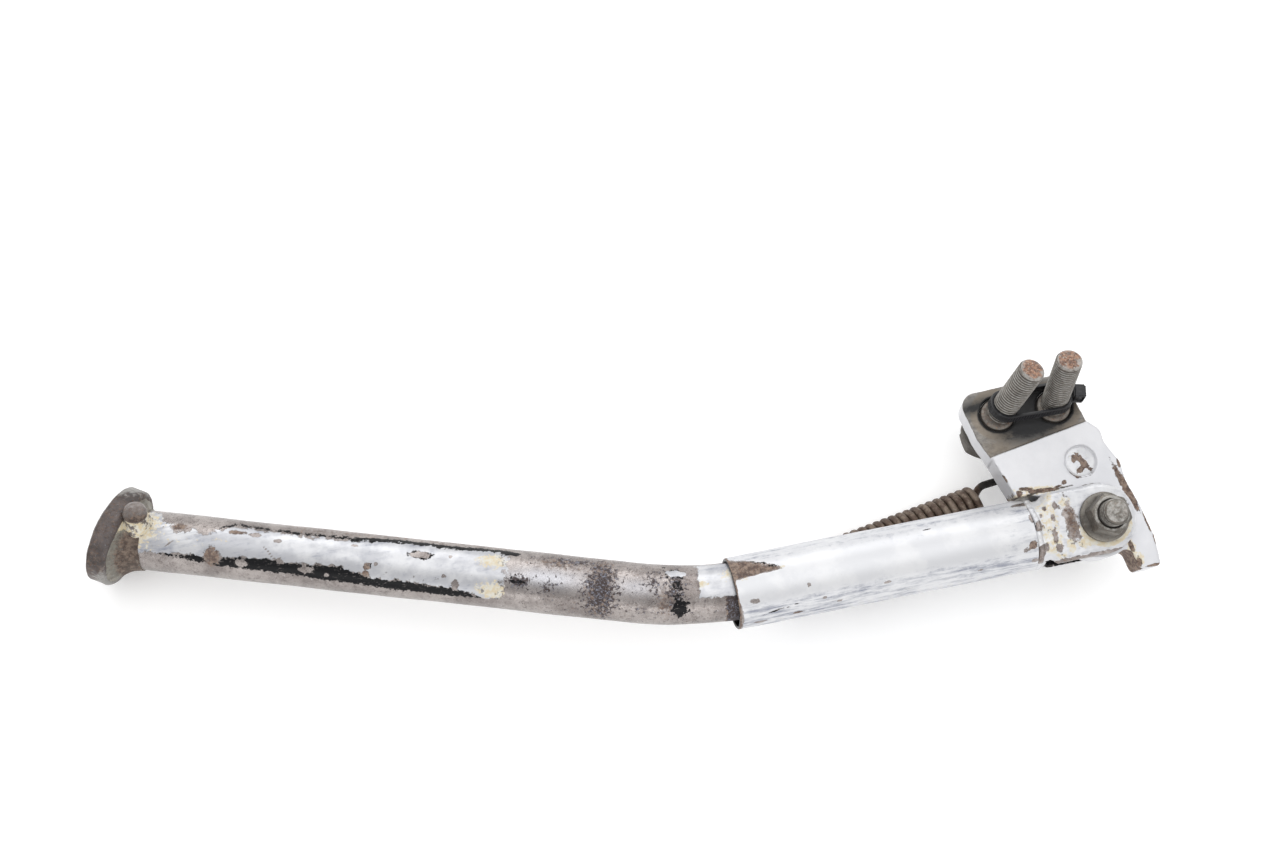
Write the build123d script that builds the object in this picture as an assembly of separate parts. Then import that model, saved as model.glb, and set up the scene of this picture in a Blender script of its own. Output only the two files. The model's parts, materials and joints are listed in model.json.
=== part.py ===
from build123d import *
import math
import os

os.makedirs("parts", exist_ok=True)

# Everything is drawn in the pivot frame, in millimetres: origin at the middle of the pivot,
# +Z along the pivot bolt towards its nut, +X along the upper sleeve away from the foot,
# +Y towards the mounting pad. rest() then lays the finished stand on its side on the ground.
LEAN = (5.868, 2.136, 10.625)
REST_SHIFT = (177.25, -8.73, 28.18)

# Mounting bracket: a forged plate with a machined pad bent back from it.
PLATE_T = 12.0
PAD_T = 9.2
PAD_STEP = 1.2
PAD_BEND = 10.5
BEND_LINE_ANGLE = 9.6
BEND_START = (-34.6, 30.8)
BEND_LENGTH = 40.6
PAD_HEIGHT_LEFT = 27.6
PAD_HEIGHT_RIGHT = 21.8
PAD_CORNER_R = 6.0
PAD_HOLE_R = 7.0
PAD_HOLES = ((10.2, 15.2), (31.7, 10.4))
HUB_R = 14.5
HUB_FROM = 139.0
HUB_TO = -50.0
HOOK_TIP = (19.6, -21.6)
HOOK_WIDTH = 8.2

# Pivot: a shouldered bolt fixed in the fork, turning in a bush pressed into the plate.
SHOULDER_R = 6.0
RUNNING_GAP = 0.05
BUSH_WALL = 1.5
THREAD_R = 5.0
THREAD_CHAMFER = 1.0
NUT_HEIGHT = 9.4
NUT_FLATS = 14.0
FLANGE_R = 9.4
FLANGE_T = 2.2
NUT_TO_BOLT_END = 5.4
PIVOT_HEAD_T = 6.4
PIVOT_HEAD_FLATS = 17.0

# Fork: two ears on a spigot that is welded into the sleeve.
SLOT_HALF = 6.35
EAR_OUT = 12.0
EAR_R = 13.3
EAR_EDGE_R = 2.5
CROTCH_X = -23.4
NECK_X = -25.0
NECK_R = 13.2
SPIGOT_END_X = -48.0
SPIGOT_R = 12.3
WELD_R = 0.55

# Leg: the outer sleeve, and the bent tube inside it.
SLEEVE_R = 13.5
SLEEVE_WALL = 1.2
SLEEVE_FROM = -142.0
SLEEVE_TO = -26.5
TUBE_R = 11.2
TUBE_WALL = 2.3
TUBE_INNER_END = -62.0
TUBE_OFFSET = 0.5
LEG_BEND_X = -155.0
LEG_BEND_R = 150.0
LEG_BEND = 19.0
LEG_BEND_TURN = -19.0
LEG_LENGTH = 216.0

# Foot, with the peg that the rider's shoe pushes.
FOOT_R = 18.8
FOOT_RIM_T = 4.4
FOOT_DOME = 4.4
FOOT_BACK = 2.6
FOOT_BACK_BEVEL = 1.0
FOOT_TILT = 15.8
FOOT_FLARE_R = 17.2
FOOT_FLARE_LENGTH = 9.5
PEG_R = 4.4
PEG_FLARE_R = 6.4
PEG_FLARE_FROM = 7.0
PEG_FLARE_TO = 15.0
PEG_DOME = 2.6
PEG_BACK = 7.0
PEG_TIP_RISE = (2.0, 7.2, 17.5)

# Return spring, and the two posts that it hooks on to.
POST = (-1.0, 22.9)
POST_R = 4.0
EYE_NECK_R = 3.4
POST_TIP_R = 5.4
POST_HEAD_R = 6.2
POST_RECESS = 1.0
POST_TIP_Z = -30.4
EYE_HALF = 1.9
LEG_PEG = (-112.0, 4.5)
LEG_PEG_R = 3.0
LEG_PEG_HEAD_R = 5.2
SPRING_Z = -21.6
WIRE_R = 1.5
SPRING_R = 8.0
UPPER_HOOK = 33.5
LOWER_HOOK = 13.0
EYE_GAP = 0.5

# Mounting bolts, M10 x 45 with flanged heads, leaning loose in their holes.
BOLT_LENGTH = 45.0
BOLT_THREAD = 22.0
BOLT_SHANK_R = 4.5
SPACER_R = 6.3
SPACER_OUT = 0.5
SPACER_IN = 1.5
BOLT_OUT = 29.5
BOLT_HEAD_T = 7.0
BOLT_FLANGE_R = 9.2
BOLT_LEANS = ((0.290, 0.112), (0.075, 0.195))
BOLT_OFFSETS = ((1.4, 0.4), (0.35, 0.9))

# Cable tie that keeps the two loose bolts together.
TIE_W = 3.4
TIE_T = 1.2
TIE_LOW = 1.8
TIE_SLACK = 1.05
TIE_HEAD = (4.8, 5.6, 7.0)


def rest(shape):
    """The stand as it lies on the ground."""
    return Pos(*REST_SHIFT) * Rot(*LEAN) * shape


def save(shape, name):
    placed = rest(shape)
    placed.label = name
    export_step(placed, f"parts/{name}.step")
    print(f"{name}: {placed.volume:.0f} mm3, {len(placed.solids())} solid, valid {placed.is_valid}")


def rod(start, end, radius):
    """A round rod from one point to another."""
    a, b = Vector(*start), Vector(*end)
    return extrude(Plane(origin=a, z_dir=b - a) * Circle(radius), (b - a).length)


def hexagon(across_flats):
    return RegularPolygon(across_flats / math.sqrt(3), 6)


def polar(radius, degrees):
    return radius * math.cos(math.radians(degrees)), radius * math.sin(math.radians(degrees))


def pad_plane():
    """The pad's face: origin at the left end of the bend line, X along that line, Z outwards."""
    at_bend = Pos(BEND_START[0], BEND_START[1], PLATE_T / 2) * Rot(0, 0, BEND_LINE_ANGLE)
    return Plane(at_bend * Rot(-PAD_BEND, 0, 0) * Pos(0, 0, -PAD_STEP))


def on_pad(x, y, z):
    return pad_plane().from_local_coords(Vector(x, y, z))


def bolt_axis(index):
    """Where a mounting bolt's axis crosses the pad's face, and the unit direction of its tip."""
    hole, offset, lean = PAD_HOLES[index], BOLT_OFFSETS[index], BOLT_LEANS[index]
    up = math.sqrt(1 - lean[0] ** 2 - lean[1] ** 2)
    start = on_pad(hole[0] + offset[0], hole[1] + offset[1], 0)
    ahead = on_pad(hole[0] + offset[0] + lean[0], hole[1] + offset[1] + lean[1], up)
    return start, ahead - start


def bracket():
    """The forging: pad, plate, hub round the pivot, and the hook that stops the lowered leg."""
    line = math.radians(BEND_LINE_ANGLE)
    bend_end = (BEND_START[0] + BEND_LENGTH * math.cos(line), BEND_START[1] + BEND_LENGTH * math.sin(line))
    hub_start, hub_end = polar(HUB_R, HUB_FROM), polar(HUB_R, HUB_TO)
    hook_inner = (HOOK_TIP[0] - HOOK_WIDTH, HOOK_TIP[1])
    edge = Polyline(BEND_START, (-28.9, 14.2), (-23.0, 14.0), hub_start)
    edge += ThreePointArc(hub_start, (-HUB_R, 0), hub_end)
    edge += Polyline(hub_end, hook_inner, HOOK_TIP, (19.6, -10.0), (17.4, 2.0), (14.2, 13.0),
                     (14.0, 20.0), (9.9, 28.5), (9.4, 33.5), bend_end, BEND_START)
    plate = extrude(Plane.XY.offset(-PLATE_T / 2) * make_face(edge), PLATE_T)
    upright = plate.edges().filter_by(Axis.Z)
    plate = fillet([e for e in upright if e.center().Y < HOOK_TIP[1] + 1], 2.2)
    upright = plate.edges().filter_by(Axis.Z)
    plate = fillet([e for e in upright if e.center().X > 8 and -12 < e.center().Y < 35], 3.0)

    pad = pad_plane()
    outline = Polyline((0, -0.6), (-1.6, 9.0), (-1.2, PAD_HEIGHT_LEFT),
                       (BEND_LENGTH, PAD_HEIGHT_RIGHT), (BEND_LENGTH, -0.6), (0, -0.6))
    flap = extrude(pad * make_face(outline), -PAD_T)
    top = [e for e in flap.edges() if pad.to_local_coords(e.center()).Y > 15]
    top = [e for e in top if abs(pad.to_local_coords(e.center()).Z + PAD_T / 2) < 0.1]
    body = plate + fillet(top, PAD_CORNER_R)

    for hole in PAD_HOLES:
        body -= rod(on_pad(*hole, 8), on_pad(*hole, -PAD_T - 8), PAD_HOLE_R)
    body -= Cylinder(SHOULDER_R + RUNNING_GAP + BUSH_WALL, 2 * PLATE_T)
    body -= Pos(*POST, 0) * Cylinder(POST_R, 2 * PLATE_T)
    body -= Pos(*POST, PLATE_T / 2) * Cylinder(POST_HEAD_R, 2 * POST_RECESS)
    return body


def pivot_bush():
    inner = SHOULDER_R + RUNNING_GAP
    return Cylinder(inner + BUSH_WALL, PLATE_T) - Cylinder(inner, PLATE_T)


def post_tip(centre, radius):
    """The rounded end of a spring post, from the spring's eye down to where the stand rests."""
    tip = rod((*centre, SPRING_Z - EYE_HALF), (*centre, POST_TIP_Z), radius)
    return fillet(tip.edges().sort_by(Axis.Z)[0], 1.5)


def spring_post():
    """Riveted into the plate, with a neck for the spring's eye and a head that keeps it on."""
    post = rod((*POST, PLATE_T / 2 - POST_RECESS), (*POST, SPRING_Z + EYE_HALF), POST_R)
    post += rod((*POST, SPRING_Z + EYE_HALF), (*POST, SPRING_Z - EYE_HALF), EYE_NECK_R)
    post += post_tip(POST, POST_TIP_R)
    post += rod((*POST, -PLATE_T / 2 - 0.05), (*POST, -PLATE_T / 2 - 2.0), POST_R + 1.5)
    rivet = rod((*POST, PLATE_T / 2 - POST_RECESS), (*POST, PLATE_T / 2 - 0.2), POST_HEAD_R - 0.4)
    return post + chamfer(rivet.edges().sort_by(Axis.Z)[-1], 0.5)


def flanged_hex(height, flats, flange_r, flange_t):
    """A hex with a round flange under it, standing on XY."""
    bevel = flats * 0.08
    hexa = extrude(hexagon(flats), height)
    corner = flats / math.sqrt(3)
    hexa &= Pos(0, 0, height / 2) * chamfer(Cylinder(corner, height).edges().sort_by(Axis.Z)[-1], bevel)
    flange = Pos(0, 0, flange_t / 2) * Cylinder(flange_r, flange_t)
    slope = Pos(0, 0, flange_t + 0.5) * Cone(flange_r - 0.8, corner - 0.6, 1.0)
    return hexa + flange + slope


def pivot_bolt():
    head = Pos(0, 0, -EAR_OUT) * Rot(180, 0, 0) * flanged_hex(
        PIVOT_HEAD_T, PIVOT_HEAD_FLATS, FLANGE_R + 1.2, FLANGE_T)
    end = EAR_OUT + NUT_HEIGHT + NUT_TO_BOLT_END
    thread = rod((0, 0, SLOT_HALF - 0.35), (0, 0, end), THREAD_R)
    thread = chamfer(thread.edges().sort_by(Axis.Z)[-1], THREAD_CHAMFER)
    return head + rod((0, 0, -EAR_OUT), (0, 0, SLOT_HALF - 0.35), SHOULDER_R) + thread


def pivot_nut():
    nut = Pos(0, 0, EAR_OUT) * Rot(0, 0, 8) * flanged_hex(NUT_HEIGHT, NUT_FLATS, FLANGE_R, FLANGE_T)
    return nut - rod((0, 0, EAR_OUT), (0, 0, EAR_OUT + NUT_HEIGHT), THREAD_R)


def neck_to_ears():
    """The round neck, opening out to the square ears: the shape that the forging stays inside."""
    profile = Polyline((NECK_X, 0), (NECK_X, NECK_R), (CROTCH_X + 1.5, NECK_R), (CROTCH_X + 8.0, 1.4 * EAR_R),
                       (2 * EAR_R, 1.4 * EAR_R), (2 * EAR_R, 0), (NECK_X, 0))
    return revolve(make_face(profile), Axis.X)


def pivot_fork():
    outline = Polyline((NECK_X, EAR_R), (0, EAR_R)) + ThreePointArc((0, EAR_R), (EAR_R, 0), (0, -EAR_R))
    outline += Polyline((0, -EAR_R), (NECK_X, -EAR_R), (NECK_X, EAR_R))
    ears = extrude(Plane.XY.offset(-EAR_OUT) * make_face(outline), 2 * EAR_OUT)
    rims = [e for e in ears.edges() if abs(abs(e.center().Z) - EAR_OUT) < 0.01 and e.center().X > NECK_X + 1]
    ears = fillet(rims, EAR_EDGE_R) & neck_to_ears()
    slot = Pos((CROTCH_X + 2 * EAR_R) / 2, 0, 0) * Box(2 * EAR_R - CROTCH_X, 4 * EAR_R, 2 * SLOT_HALF)
    ears -= slot
    ears -= rod((0, 0, -EAR_OUT), (0, 0, 0), SHOULDER_R + RUNNING_GAP)
    ears -= rod((0, 0, 0), (0, 0, EAR_OUT), THREAD_R + 0.2)
    spigot = rod((SPIGOT_END_X, 0, 0), (NECK_X, 0, 0), SPIGOT_R)
    return ears + chamfer(spigot.edges().sort_by(Axis.X)[0], 1.5)


def fork_weld():
    """The bead in the groove between the sleeve's end and the fork's shoulder."""
    inner = SPIGOT_R
    groove = Polyline((NECK_X, inner), (SLEEVE_TO, inner), (SLEEVE_TO, SLEEVE_R), (NECK_X, NECK_R), (NECK_X, inner))
    bead = revolve(make_face(groove), Axis.X)
    crown = Pos((NECK_X + SLEEVE_TO) / 2, 0, 0) * Rot(0, 90, 0) * Torus(NECK_R, WELD_R)
    return bead + (crown - rod((SPIGOT_END_X, 0, 0), (0, 0, 0), NECK_R))


def upper_sleeve():
    sleeve = rod((SLEEVE_FROM, 0, 0), (SLEEVE_TO, 0, 0), SLEEVE_R)
    return sleeve - rod((SLEEVE_FROM, 0, 0), (SLEEVE_TO, 0, 0), SLEEVE_R - SLEEVE_WALL)


def leg_path():
    """The bent tube's centre line, and its direction at the foot."""
    turn = math.radians(LEG_BEND_TURN)
    side = Vector(0, math.cos(turn), math.sin(turn))
    tangent = LEG_BEND_R * math.tan(math.radians(LEG_BEND / 2))
    corner = Vector(LEG_BEND_X, TUBE_OFFSET, 0)
    out = Vector(-1, 0, 0) * math.cos(math.radians(LEG_BEND)) + side * math.sin(math.radians(LEG_BEND))
    start = Vector(TUBE_INNER_END, TUBE_OFFSET, 0)
    bend_from, bend_to = corner + Vector(tangent, 0, 0), corner + out * tangent
    line = Line(start, bend_from)
    line += TangentArc(bend_from, bend_to, tangent=Vector(-1, 0, 0))
    line += Line(bend_to, corner + out * LEG_LENGTH)
    return line, corner, out


def foot_plane():
    """Back face of the foot: origin on the tube's axis, Z outwards through the dome."""
    _, corner, out = leg_path()
    centre = corner + out * LEG_LENGTH
    outward = out.rotate(Axis.Z, -FOOT_TILT)
    return Plane(origin=centre, x_dir=outward.cross(Vector(0, 0, 1)), z_dir=outward)


def leg_tube():
    path, _, _ = leg_path()
    section = Plane(origin=path @ 0, z_dir=path % 0)
    long_path = path + Line(path @ 1, path @ 1 + (path % 1) * 12)
    outer = sweep(section * Circle(TUBE_R), path=long_path)
    inner = sweep(section * Circle(TUBE_R - TUBE_WALL), path=long_path)
    beyond = extrude(foot_plane() * Circle(4 * FOOT_R), 40)
    return outer - inner - beyond


def foot_plate():
    """A thick round foot with a domed sole."""
    top = FOOT_RIM_T + FOOT_DOME
    dome_r = (FOOT_R ** 2 + FOOT_DOME ** 2) / (2 * FOOT_DOME)
    disc = Pos(0, 0, (top - FOOT_BACK) / 2) * Cylinder(FOOT_R, top + FOOT_BACK)
    disc = chamfer(disc.edges().sort_by(Axis.Z)[0], FOOT_BACK_BEVEL)
    disc &= Pos(0, 0, top - dome_r) * Sphere(dome_r)
    return foot_plane().location * disc - leg_tube()


def foot_weld():
    """The flare of weld where the tube meets the back of the foot."""
    _, corner, out = leg_path()
    collar = Plane(origin=corner + out * (LEG_LENGTH - FOOT_FLARE_LENGTH), z_dir=out)
    back = Plane(foot_plane().location * Pos(0, 0, -FOOT_BACK))
    flare = loft([back * Circle(FOOT_FLARE_R), collar * Circle(TUBE_R + 0.5)])
    return flare - foot_plate() - filled_tube()


def kick_peg():
    """A stub with a rounded end and a flared root, standing out of the tube just above the foot."""
    _, corner, out = leg_path()
    base = corner + out * (LEG_LENGTH - PEG_BACK)
    tip = base + Vector(*PEG_TIP_RISE)
    axis = (tip - base).normalized()
    peg = rod(base, tip, PEG_R)
    peg += Plane(origin=tip, z_dir=axis).location * scale(Sphere(PEG_R), (1, 1, PEG_DOME / PEG_R))
    rise = PEG_FLARE_TO - PEG_FLARE_FROM
    middle = base + axis * (PEG_FLARE_FROM + rise / 2)
    peg += Plane(origin=middle, z_dir=axis).location * Cone(PEG_FLARE_R, PEG_R, rise)
    return peg - filled_tube() - foot_plate() - foot_weld()


def filled_tube():
    """The tube filled in, for cutting what is welded on to it."""
    _, corner, out = leg_path()
    return rod(corner + out * (LEG_LENGTH - 40), corner + out * (LEG_LENGTH + 12), TUBE_R)


def leg_spring_peg():
    """A headed peg welded on the back of the sleeve for the spring's lower eye."""
    peg = rod((*LEG_PEG, 0), (*LEG_PEG, SPRING_Z + EYE_HALF), LEG_PEG_R + 1.4)
    peg += rod((*LEG_PEG, SPRING_Z + EYE_HALF), (*LEG_PEG, SPRING_Z - EYE_HALF), LEG_PEG_R)
    peg += post_tip(LEG_PEG, LEG_PEG_HEAD_R)
    return peg - rod((SLEEVE_FROM, 0, 0), (SLEEVE_TO, 0, 0), SLEEVE_R)


def spring_frame():
    """Origin on the bracket's post, X towards the leg's peg, Z parallel to the pivot."""
    along = Vector(LEG_PEG[0] - POST[0], LEG_PEG[1] - POST[1], 0)
    return Plane(origin=(*POST, SPRING_Z), x_dir=along, z_dir=(0, 0, 1)), along.length


def spring_half(eye_radius, hook, coil):
    """One end of the spring: an eye about the origin, its hook, and a plain shell for the coil."""
    eye = Torus(eye_radius, WIRE_R)
    shank = rod((eye_radius, 0, 0), (hook, 0, 0), WIRE_R)
    bore = SPRING_R - 2 * WIRE_R
    shell = rod((hook, 0, 0), (hook + coil, 0, 0), SPRING_R)
    shell -= rod((hook + 2 * WIRE_R, 0, 0), (hook + coil, 0, 0), bore)
    return eye + shank + shell


def return_spring():
    """Both halves of the spring, which meet at the middle of the coil."""
    frame, length = spring_frame()
    coil = (length - UPPER_HOOK - LOWER_HOOK) / 2
    upper = spring_half(EYE_NECK_R + EYE_GAP + WIRE_R, UPPER_HOOK, coil)
    lower = spring_half(LEG_PEG_R + EYE_GAP + WIRE_R, LOWER_HOOK, coil)
    return frame.location * upper, frame.location * Pos(length, 0, 0) * Rot(0, 0, 180) * lower


def mounting_bolt(index):
    """A flanged bolt, with the thin spacer that has rusted to it in the mouth of the pad's hole."""
    start, up = bolt_axis(index)
    under_head = start - up * (BOLT_LENGTH - BOLT_OUT)
    thread = rod((0, 0, BOLT_LENGTH - BOLT_THREAD), (0, 0, BOLT_LENGTH), THREAD_R)
    thread = chamfer(thread.edges().sort_by(Axis.Z)[-1], THREAD_CHAMFER)
    shank = rod((0, 0, 0), (0, 0, BOLT_LENGTH - BOLT_THREAD), BOLT_SHANK_R)
    head = Rot(180, 0, 0) * flanged_hex(BOLT_HEAD_T, NUT_FLATS, BOLT_FLANGE_R, FLANGE_T)
    bolt = Plane(origin=under_head, z_dir=up).location * (head + shank + thread)
    hole = Pos(*PAD_HOLES[index], (SPACER_OUT - SPACER_IN) / 2)
    return bolt + pad_plane().location * hole * Cylinder(SPACER_R, SPACER_OUT + SPACER_IN)


def cable_tie():
    """A strap pulled tight round both bolts just above the pad, with its square head beside them."""
    pad = pad_plane()
    middle = TIE_LOW + TIE_W / 2
    centres = []
    for index in range(2):
        start, up = bolt_axis(index)
        at = pad.to_local_coords(start + up * middle)
        centres.append(Vector(at.X, at.Y, 0))
    bore = THREAD_R + TIE_SLACK
    level = Plane(pad.location * Pos(0, 0, TIE_LOW))

    def loop(radius):
        ends = [Pos(c.X, c.Y, 0) * Circle(radius) for c in centres]
        return make_hull((ends[0] + ends[1]).edges())

    strap = extrude(level * (loop(bore + TIE_T) - loop(bore)), TIE_W)
    side = (centres[1] - centres[0]).normalized()
    beside = centres[1] + side * (bore + TIE_T / 2 + TIE_HEAD[0] / 2)
    head = Pos(beside.X, beside.Y, TIE_LOW + TIE_HEAD[2] / 2) * Rot(0, 0, -12) * Box(*TIE_HEAD)
    return strap + pad.location * fillet(head.edges(), 0.6)


if __name__ == "__main__":
    save(bracket(), "mount_bracket")
    save(pivot_bush(), "pivot_bush")
    save(spring_post(), "bracket_spring_post")
    save(mounting_bolt(0), "mounting_bolt_left")
    save(mounting_bolt(1), "mounting_bolt_right")
    save(cable_tie(), "cable_tie")
    save(pivot_fork(), "pivot_fork")
    save(pivot_bolt(), "pivot_bolt")
    save(pivot_nut(), "pivot_nut")
    save(upper_sleeve(), "upper_sleeve")
    save(fork_weld(), "fork_weld")
    save(leg_tube(), "leg_tube")
    save(foot_plate(), "foot_plate")
    save(foot_weld(), "foot_weld")
    save(kick_peg(), "kick_peg")
    save(leg_spring_peg(), "leg_spring_peg")
    spring_upper, spring_lower = return_spring()
    save(spring_upper, "return_spring_upper")
    save(spring_lower, "return_spring_lower")
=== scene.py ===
"""A worn motorcycle side stand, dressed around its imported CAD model."""
import json
import math

import bmesh
import bpy
import numpy as np
from mathutils import Matrix, Vector, noise


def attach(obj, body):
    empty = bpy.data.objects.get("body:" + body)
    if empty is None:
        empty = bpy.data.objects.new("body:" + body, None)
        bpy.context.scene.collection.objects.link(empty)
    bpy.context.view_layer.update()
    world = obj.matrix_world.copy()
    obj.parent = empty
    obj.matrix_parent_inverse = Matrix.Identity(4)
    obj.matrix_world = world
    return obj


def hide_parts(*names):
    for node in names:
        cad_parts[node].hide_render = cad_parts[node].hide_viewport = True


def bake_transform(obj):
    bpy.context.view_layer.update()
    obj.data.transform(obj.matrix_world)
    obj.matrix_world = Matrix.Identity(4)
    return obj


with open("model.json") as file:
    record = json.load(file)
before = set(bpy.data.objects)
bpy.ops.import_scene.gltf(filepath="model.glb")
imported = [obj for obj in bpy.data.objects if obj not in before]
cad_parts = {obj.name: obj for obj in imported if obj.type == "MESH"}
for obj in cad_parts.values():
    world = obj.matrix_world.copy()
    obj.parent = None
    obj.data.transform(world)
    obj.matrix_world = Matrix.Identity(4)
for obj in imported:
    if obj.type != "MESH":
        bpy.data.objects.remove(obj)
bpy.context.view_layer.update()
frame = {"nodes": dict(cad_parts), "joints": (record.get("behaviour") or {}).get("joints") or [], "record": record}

MM = 0.001
JOINTS = {joint["name"]: joint for joint in frame["joints"]}
MOUNTS = {mount["name"]: mount for mount in frame["record"]["mounts"]}

# Pieces are drawn in the pivot frame, in millimetres: origin at the middle of the pivot, +X along
# the sleeve away from the foot, +Y towards the mounting pad, +Z along the pivot bolt to its nut.
LEAN = (5.868, 2.136, 10.625)

PLATE_T = 12.0
PAD_STEP = 1.2
PAD_BEND = 10.5
BEND_LINE_ANGLE = 9.6
BEND_START = (-34.6, 30.8)
PAD_HOLES = ((10.2, 15.2), (31.7, 10.4))
POST = (-1.0, 22.9)

SHOULDER_R = 6.0
BUSH_R = 7.55
THREAD_R = 5.0
PITCH = 1.25
THREAD_DEPTH = 0.70
NUT_FLATS = 14.0
NUT_HEIGHT = 9.4
NUT_TURN = math.radians(8)
FLANGE_R = 9.4
FLANGE_T = 2.2
EAR_OUT = 12.0
EAR_R = 13.3
SLIDING_R = 19.0
SLOT_HALF = 6.35
PIVOT_TIP = 26.78
PIVOT_HEAD_T = 6.4
PIVOT_HEAD_FLATS = 17.0
BOLT_LENGTH = 45.0
BOLT_HEAD_T = 7.0
BOLT_FLANGE_R = 9.2
SHANK_R = 4.5
THREAD_FROM = 12.0
TIP_PAST_MOUNT = 0.96
SPACER_R = 6.3
SPACER_OUT = 0.5
SPACER_IN = 1.5
SPACER_STEP_R = 6.9

SLEEVE_R = 13.5
SLEEVE_WALL = 1.2
SLEEVE_FROM = -142.0
SLEEVE_TO = -26.5
NECK_X = -25.0
NECK_R = 13.2
TUBE_R = 11.2
TUBE_WALL = 2.3
TUBE_INNER_END = -62.0
TUBE_OFFSET = 0.5
SQUEEZED_AT = 222.0
LEG_BEND_X = -155.0
LEG_BEND_R = 150.0
LEG_BEND = math.radians(19.0)
LEG_BEND_TURN = math.radians(-19.0)
LEG_LENGTH = 216.0

FOOT_R = 18.8
FOOT_RIM_T = 4.4
FOOT_DOME = 4.4
FOOT_TILT = math.radians(15.8)
FLARE_R = 17.2
FLARE_LENGTH = 9.5
FOOT_BACK = 2.6
PEG_R = 4.4
PEG_FLARE_R = 6.4
PEG_FLARE_FROM = 7.0
PEG_FLARE_TO = 15.0
PEG_DOME = 2.6
PEG_BACK = 7.0
PEG_TIP_RISE = (2.0, 7.2, 17.5)

SPRING_Z = -21.6
SPRING_LENGTH = 112.51
POST_TIP_Z = -30.4
WIRE_R = 1.5
COIL_R = 6.5
COIL_PITCH = 3.2
UPPER_EYE_R = 5.4
LOWER_EYE_R = 5.0
UPPER_HOOK = 33.5
LOWER_HOOK = 13.0
LEG_PEG = (-112.0, 4.5)
LEG_PEG_R = 3.0
LEG_PEG_HEAD_R = 5.2
LEG_PEG_ROOT = -12.9
POST_R = 3.4
POST_HEAD_R = 5.4
NECK_TOP = SPRING_Z + 1.9

TIE_W = 3.4
TIE_T = 1.2
TIE_BORE = 5.15
TIE_LOW = 2.2
TIE_HEAD = (4.6, 5.4, 6.6)
TIE_HEAD_TURN = math.radians(-12)


# ---------------------------------------------------------------- places and plain geometry

def pivot_frame():
    turn = Matrix.Identity(4)
    for degrees, axis in zip(LEAN, "XYZ"):
        turn = turn @ Matrix.Rotation(math.radians(degrees), 4, axis)
    return Matrix.Translation(JOINTS["leg_swing"]["pos_m"]) @ turn @ Matrix.Scale(MM, 4)


PIVOT_FRAME = np.array(pivot_frame())
PIVOT_INVERSE = np.linalg.inv(PIVOT_FRAME)


def moved(points, matrix):
    return np.asarray(points) @ matrix[:3, :3].T + matrix[:3, 3]


def to_row(points):
    return moved(points, PIVOT_FRAME)


def from_row(points):
    return moved(points, PIVOT_INVERSE)


def unit(vector):
    vector = np.array(vector, float)
    return vector / np.linalg.norm(vector)


def frame_at(origin, z_dir=(0, 0, 1), x_hint=(1, 0, 0)):
    """A frame with its Z along z_dir and its X as near x_hint as it can be."""
    z_axis = unit(z_dir)
    x_axis = unit(np.array(x_hint, float) - np.dot(x_hint, z_axis) * z_axis)
    matrix = np.eye(4)
    matrix[:3, 0], matrix[:3, 1], matrix[:3, 2] = x_axis, np.cross(z_axis, x_axis), z_axis
    matrix[:3, 3] = origin
    return matrix


def pad_frame():
    """The pad's face: origin at the left end of the bend line, X along that line, Z outwards."""
    turn = Matrix.Rotation(math.radians(BEND_LINE_ANGLE), 4, "Z")
    turn = turn @ Matrix.Rotation(math.radians(-PAD_BEND), 4, "X")
    start = Matrix.Translation((BEND_START[0], BEND_START[1], PLATE_T / 2))
    return np.array(start @ turn @ Matrix.Translation((0, 0, -PAD_STEP)))


PAD_FRAME = pad_frame()
PAD_INVERSE = np.linalg.inv(PAD_FRAME)


def round_angles(count):
    return np.arange(count) * 2 * math.pi / count


def ring_on_z(radius, height, angles):
    return np.stack([radius * np.cos(angles), radius * np.sin(angles), height + 0 * angles], 1)


def ring_on_x(place, radius, angles):
    """A ring round the X axis, which starts at the top."""
    return np.stack([place + 0 * angles, radius * np.sin(angles), radius * np.cos(angles)], 1)


def circle(radius, count):
    return ring_on_z(radius, 0.0, round_angles(count))


def ring_faces(rings, around, closed):
    """Quads between rings of points; closed joins the last ring to the first."""
    faces = []
    for i in range(rings if closed else rings - 1):
        for j in range(around):
            here, there = i * around, (i + 1) % rings * around
            k = (j + 1) % around
            faces.append((here + j, here + k, there + k, there + j))
    return faces


def skin(rings, closed=False):
    """Points and faces through rings of points. An open row of rings is closed by a fan at each end."""
    rings = np.asarray(rings, float)
    count, around = rings.shape[:2]
    points = rings.reshape(-1, 3)
    faces = ring_faces(count, around, closed)
    if closed:
        return points, faces
    centres = np.array([rings[0].mean(0), rings[-1].mean(0)])
    first, last = len(points), len(points) + 1
    start = (count - 1) * around
    for j in range(around):
        k = (j + 1) % around
        faces.append((first, k, j))
        faces.append((last, start + j, start + k))
    return np.vstack([points, centres]), faces


def eased(profile, radius, closed=False, steps=3):
    """A profile with its corners rounded off."""
    profile = np.array(profile, float)
    count = len(profile)
    result = []
    for i in range(count):
        here = profile[i]
        if not closed and i in (0, count - 1):
            result.append(here)
            continue
        before, after = profile[i - 1] - here, profile[(i + 1) % count] - here
        reach = min(radius, 0.45 * np.linalg.norm(before), 0.45 * np.linalg.norm(after))
        start, end = here + unit(before) * reach, here + unit(after) * reach
        for step in range(steps + 1):
            t = step / steps
            result.append((1 - t) ** 2 * start + 2 * t * (1 - t) * here + t ** 2 * end)
    return np.array(result)


def refined(profile, spacing):
    """A profile with extra points, so that no stretch is longer than spacing."""
    result = [profile[0]]
    for a, b in zip(profile[:-1], profile[1:]):
        steps = max(1, math.ceil(np.linalg.norm(b - a) / spacing))
        result += [a + (b - a) * k / steps for k in range(1, steps + 1)]
    return np.array(result)


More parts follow.
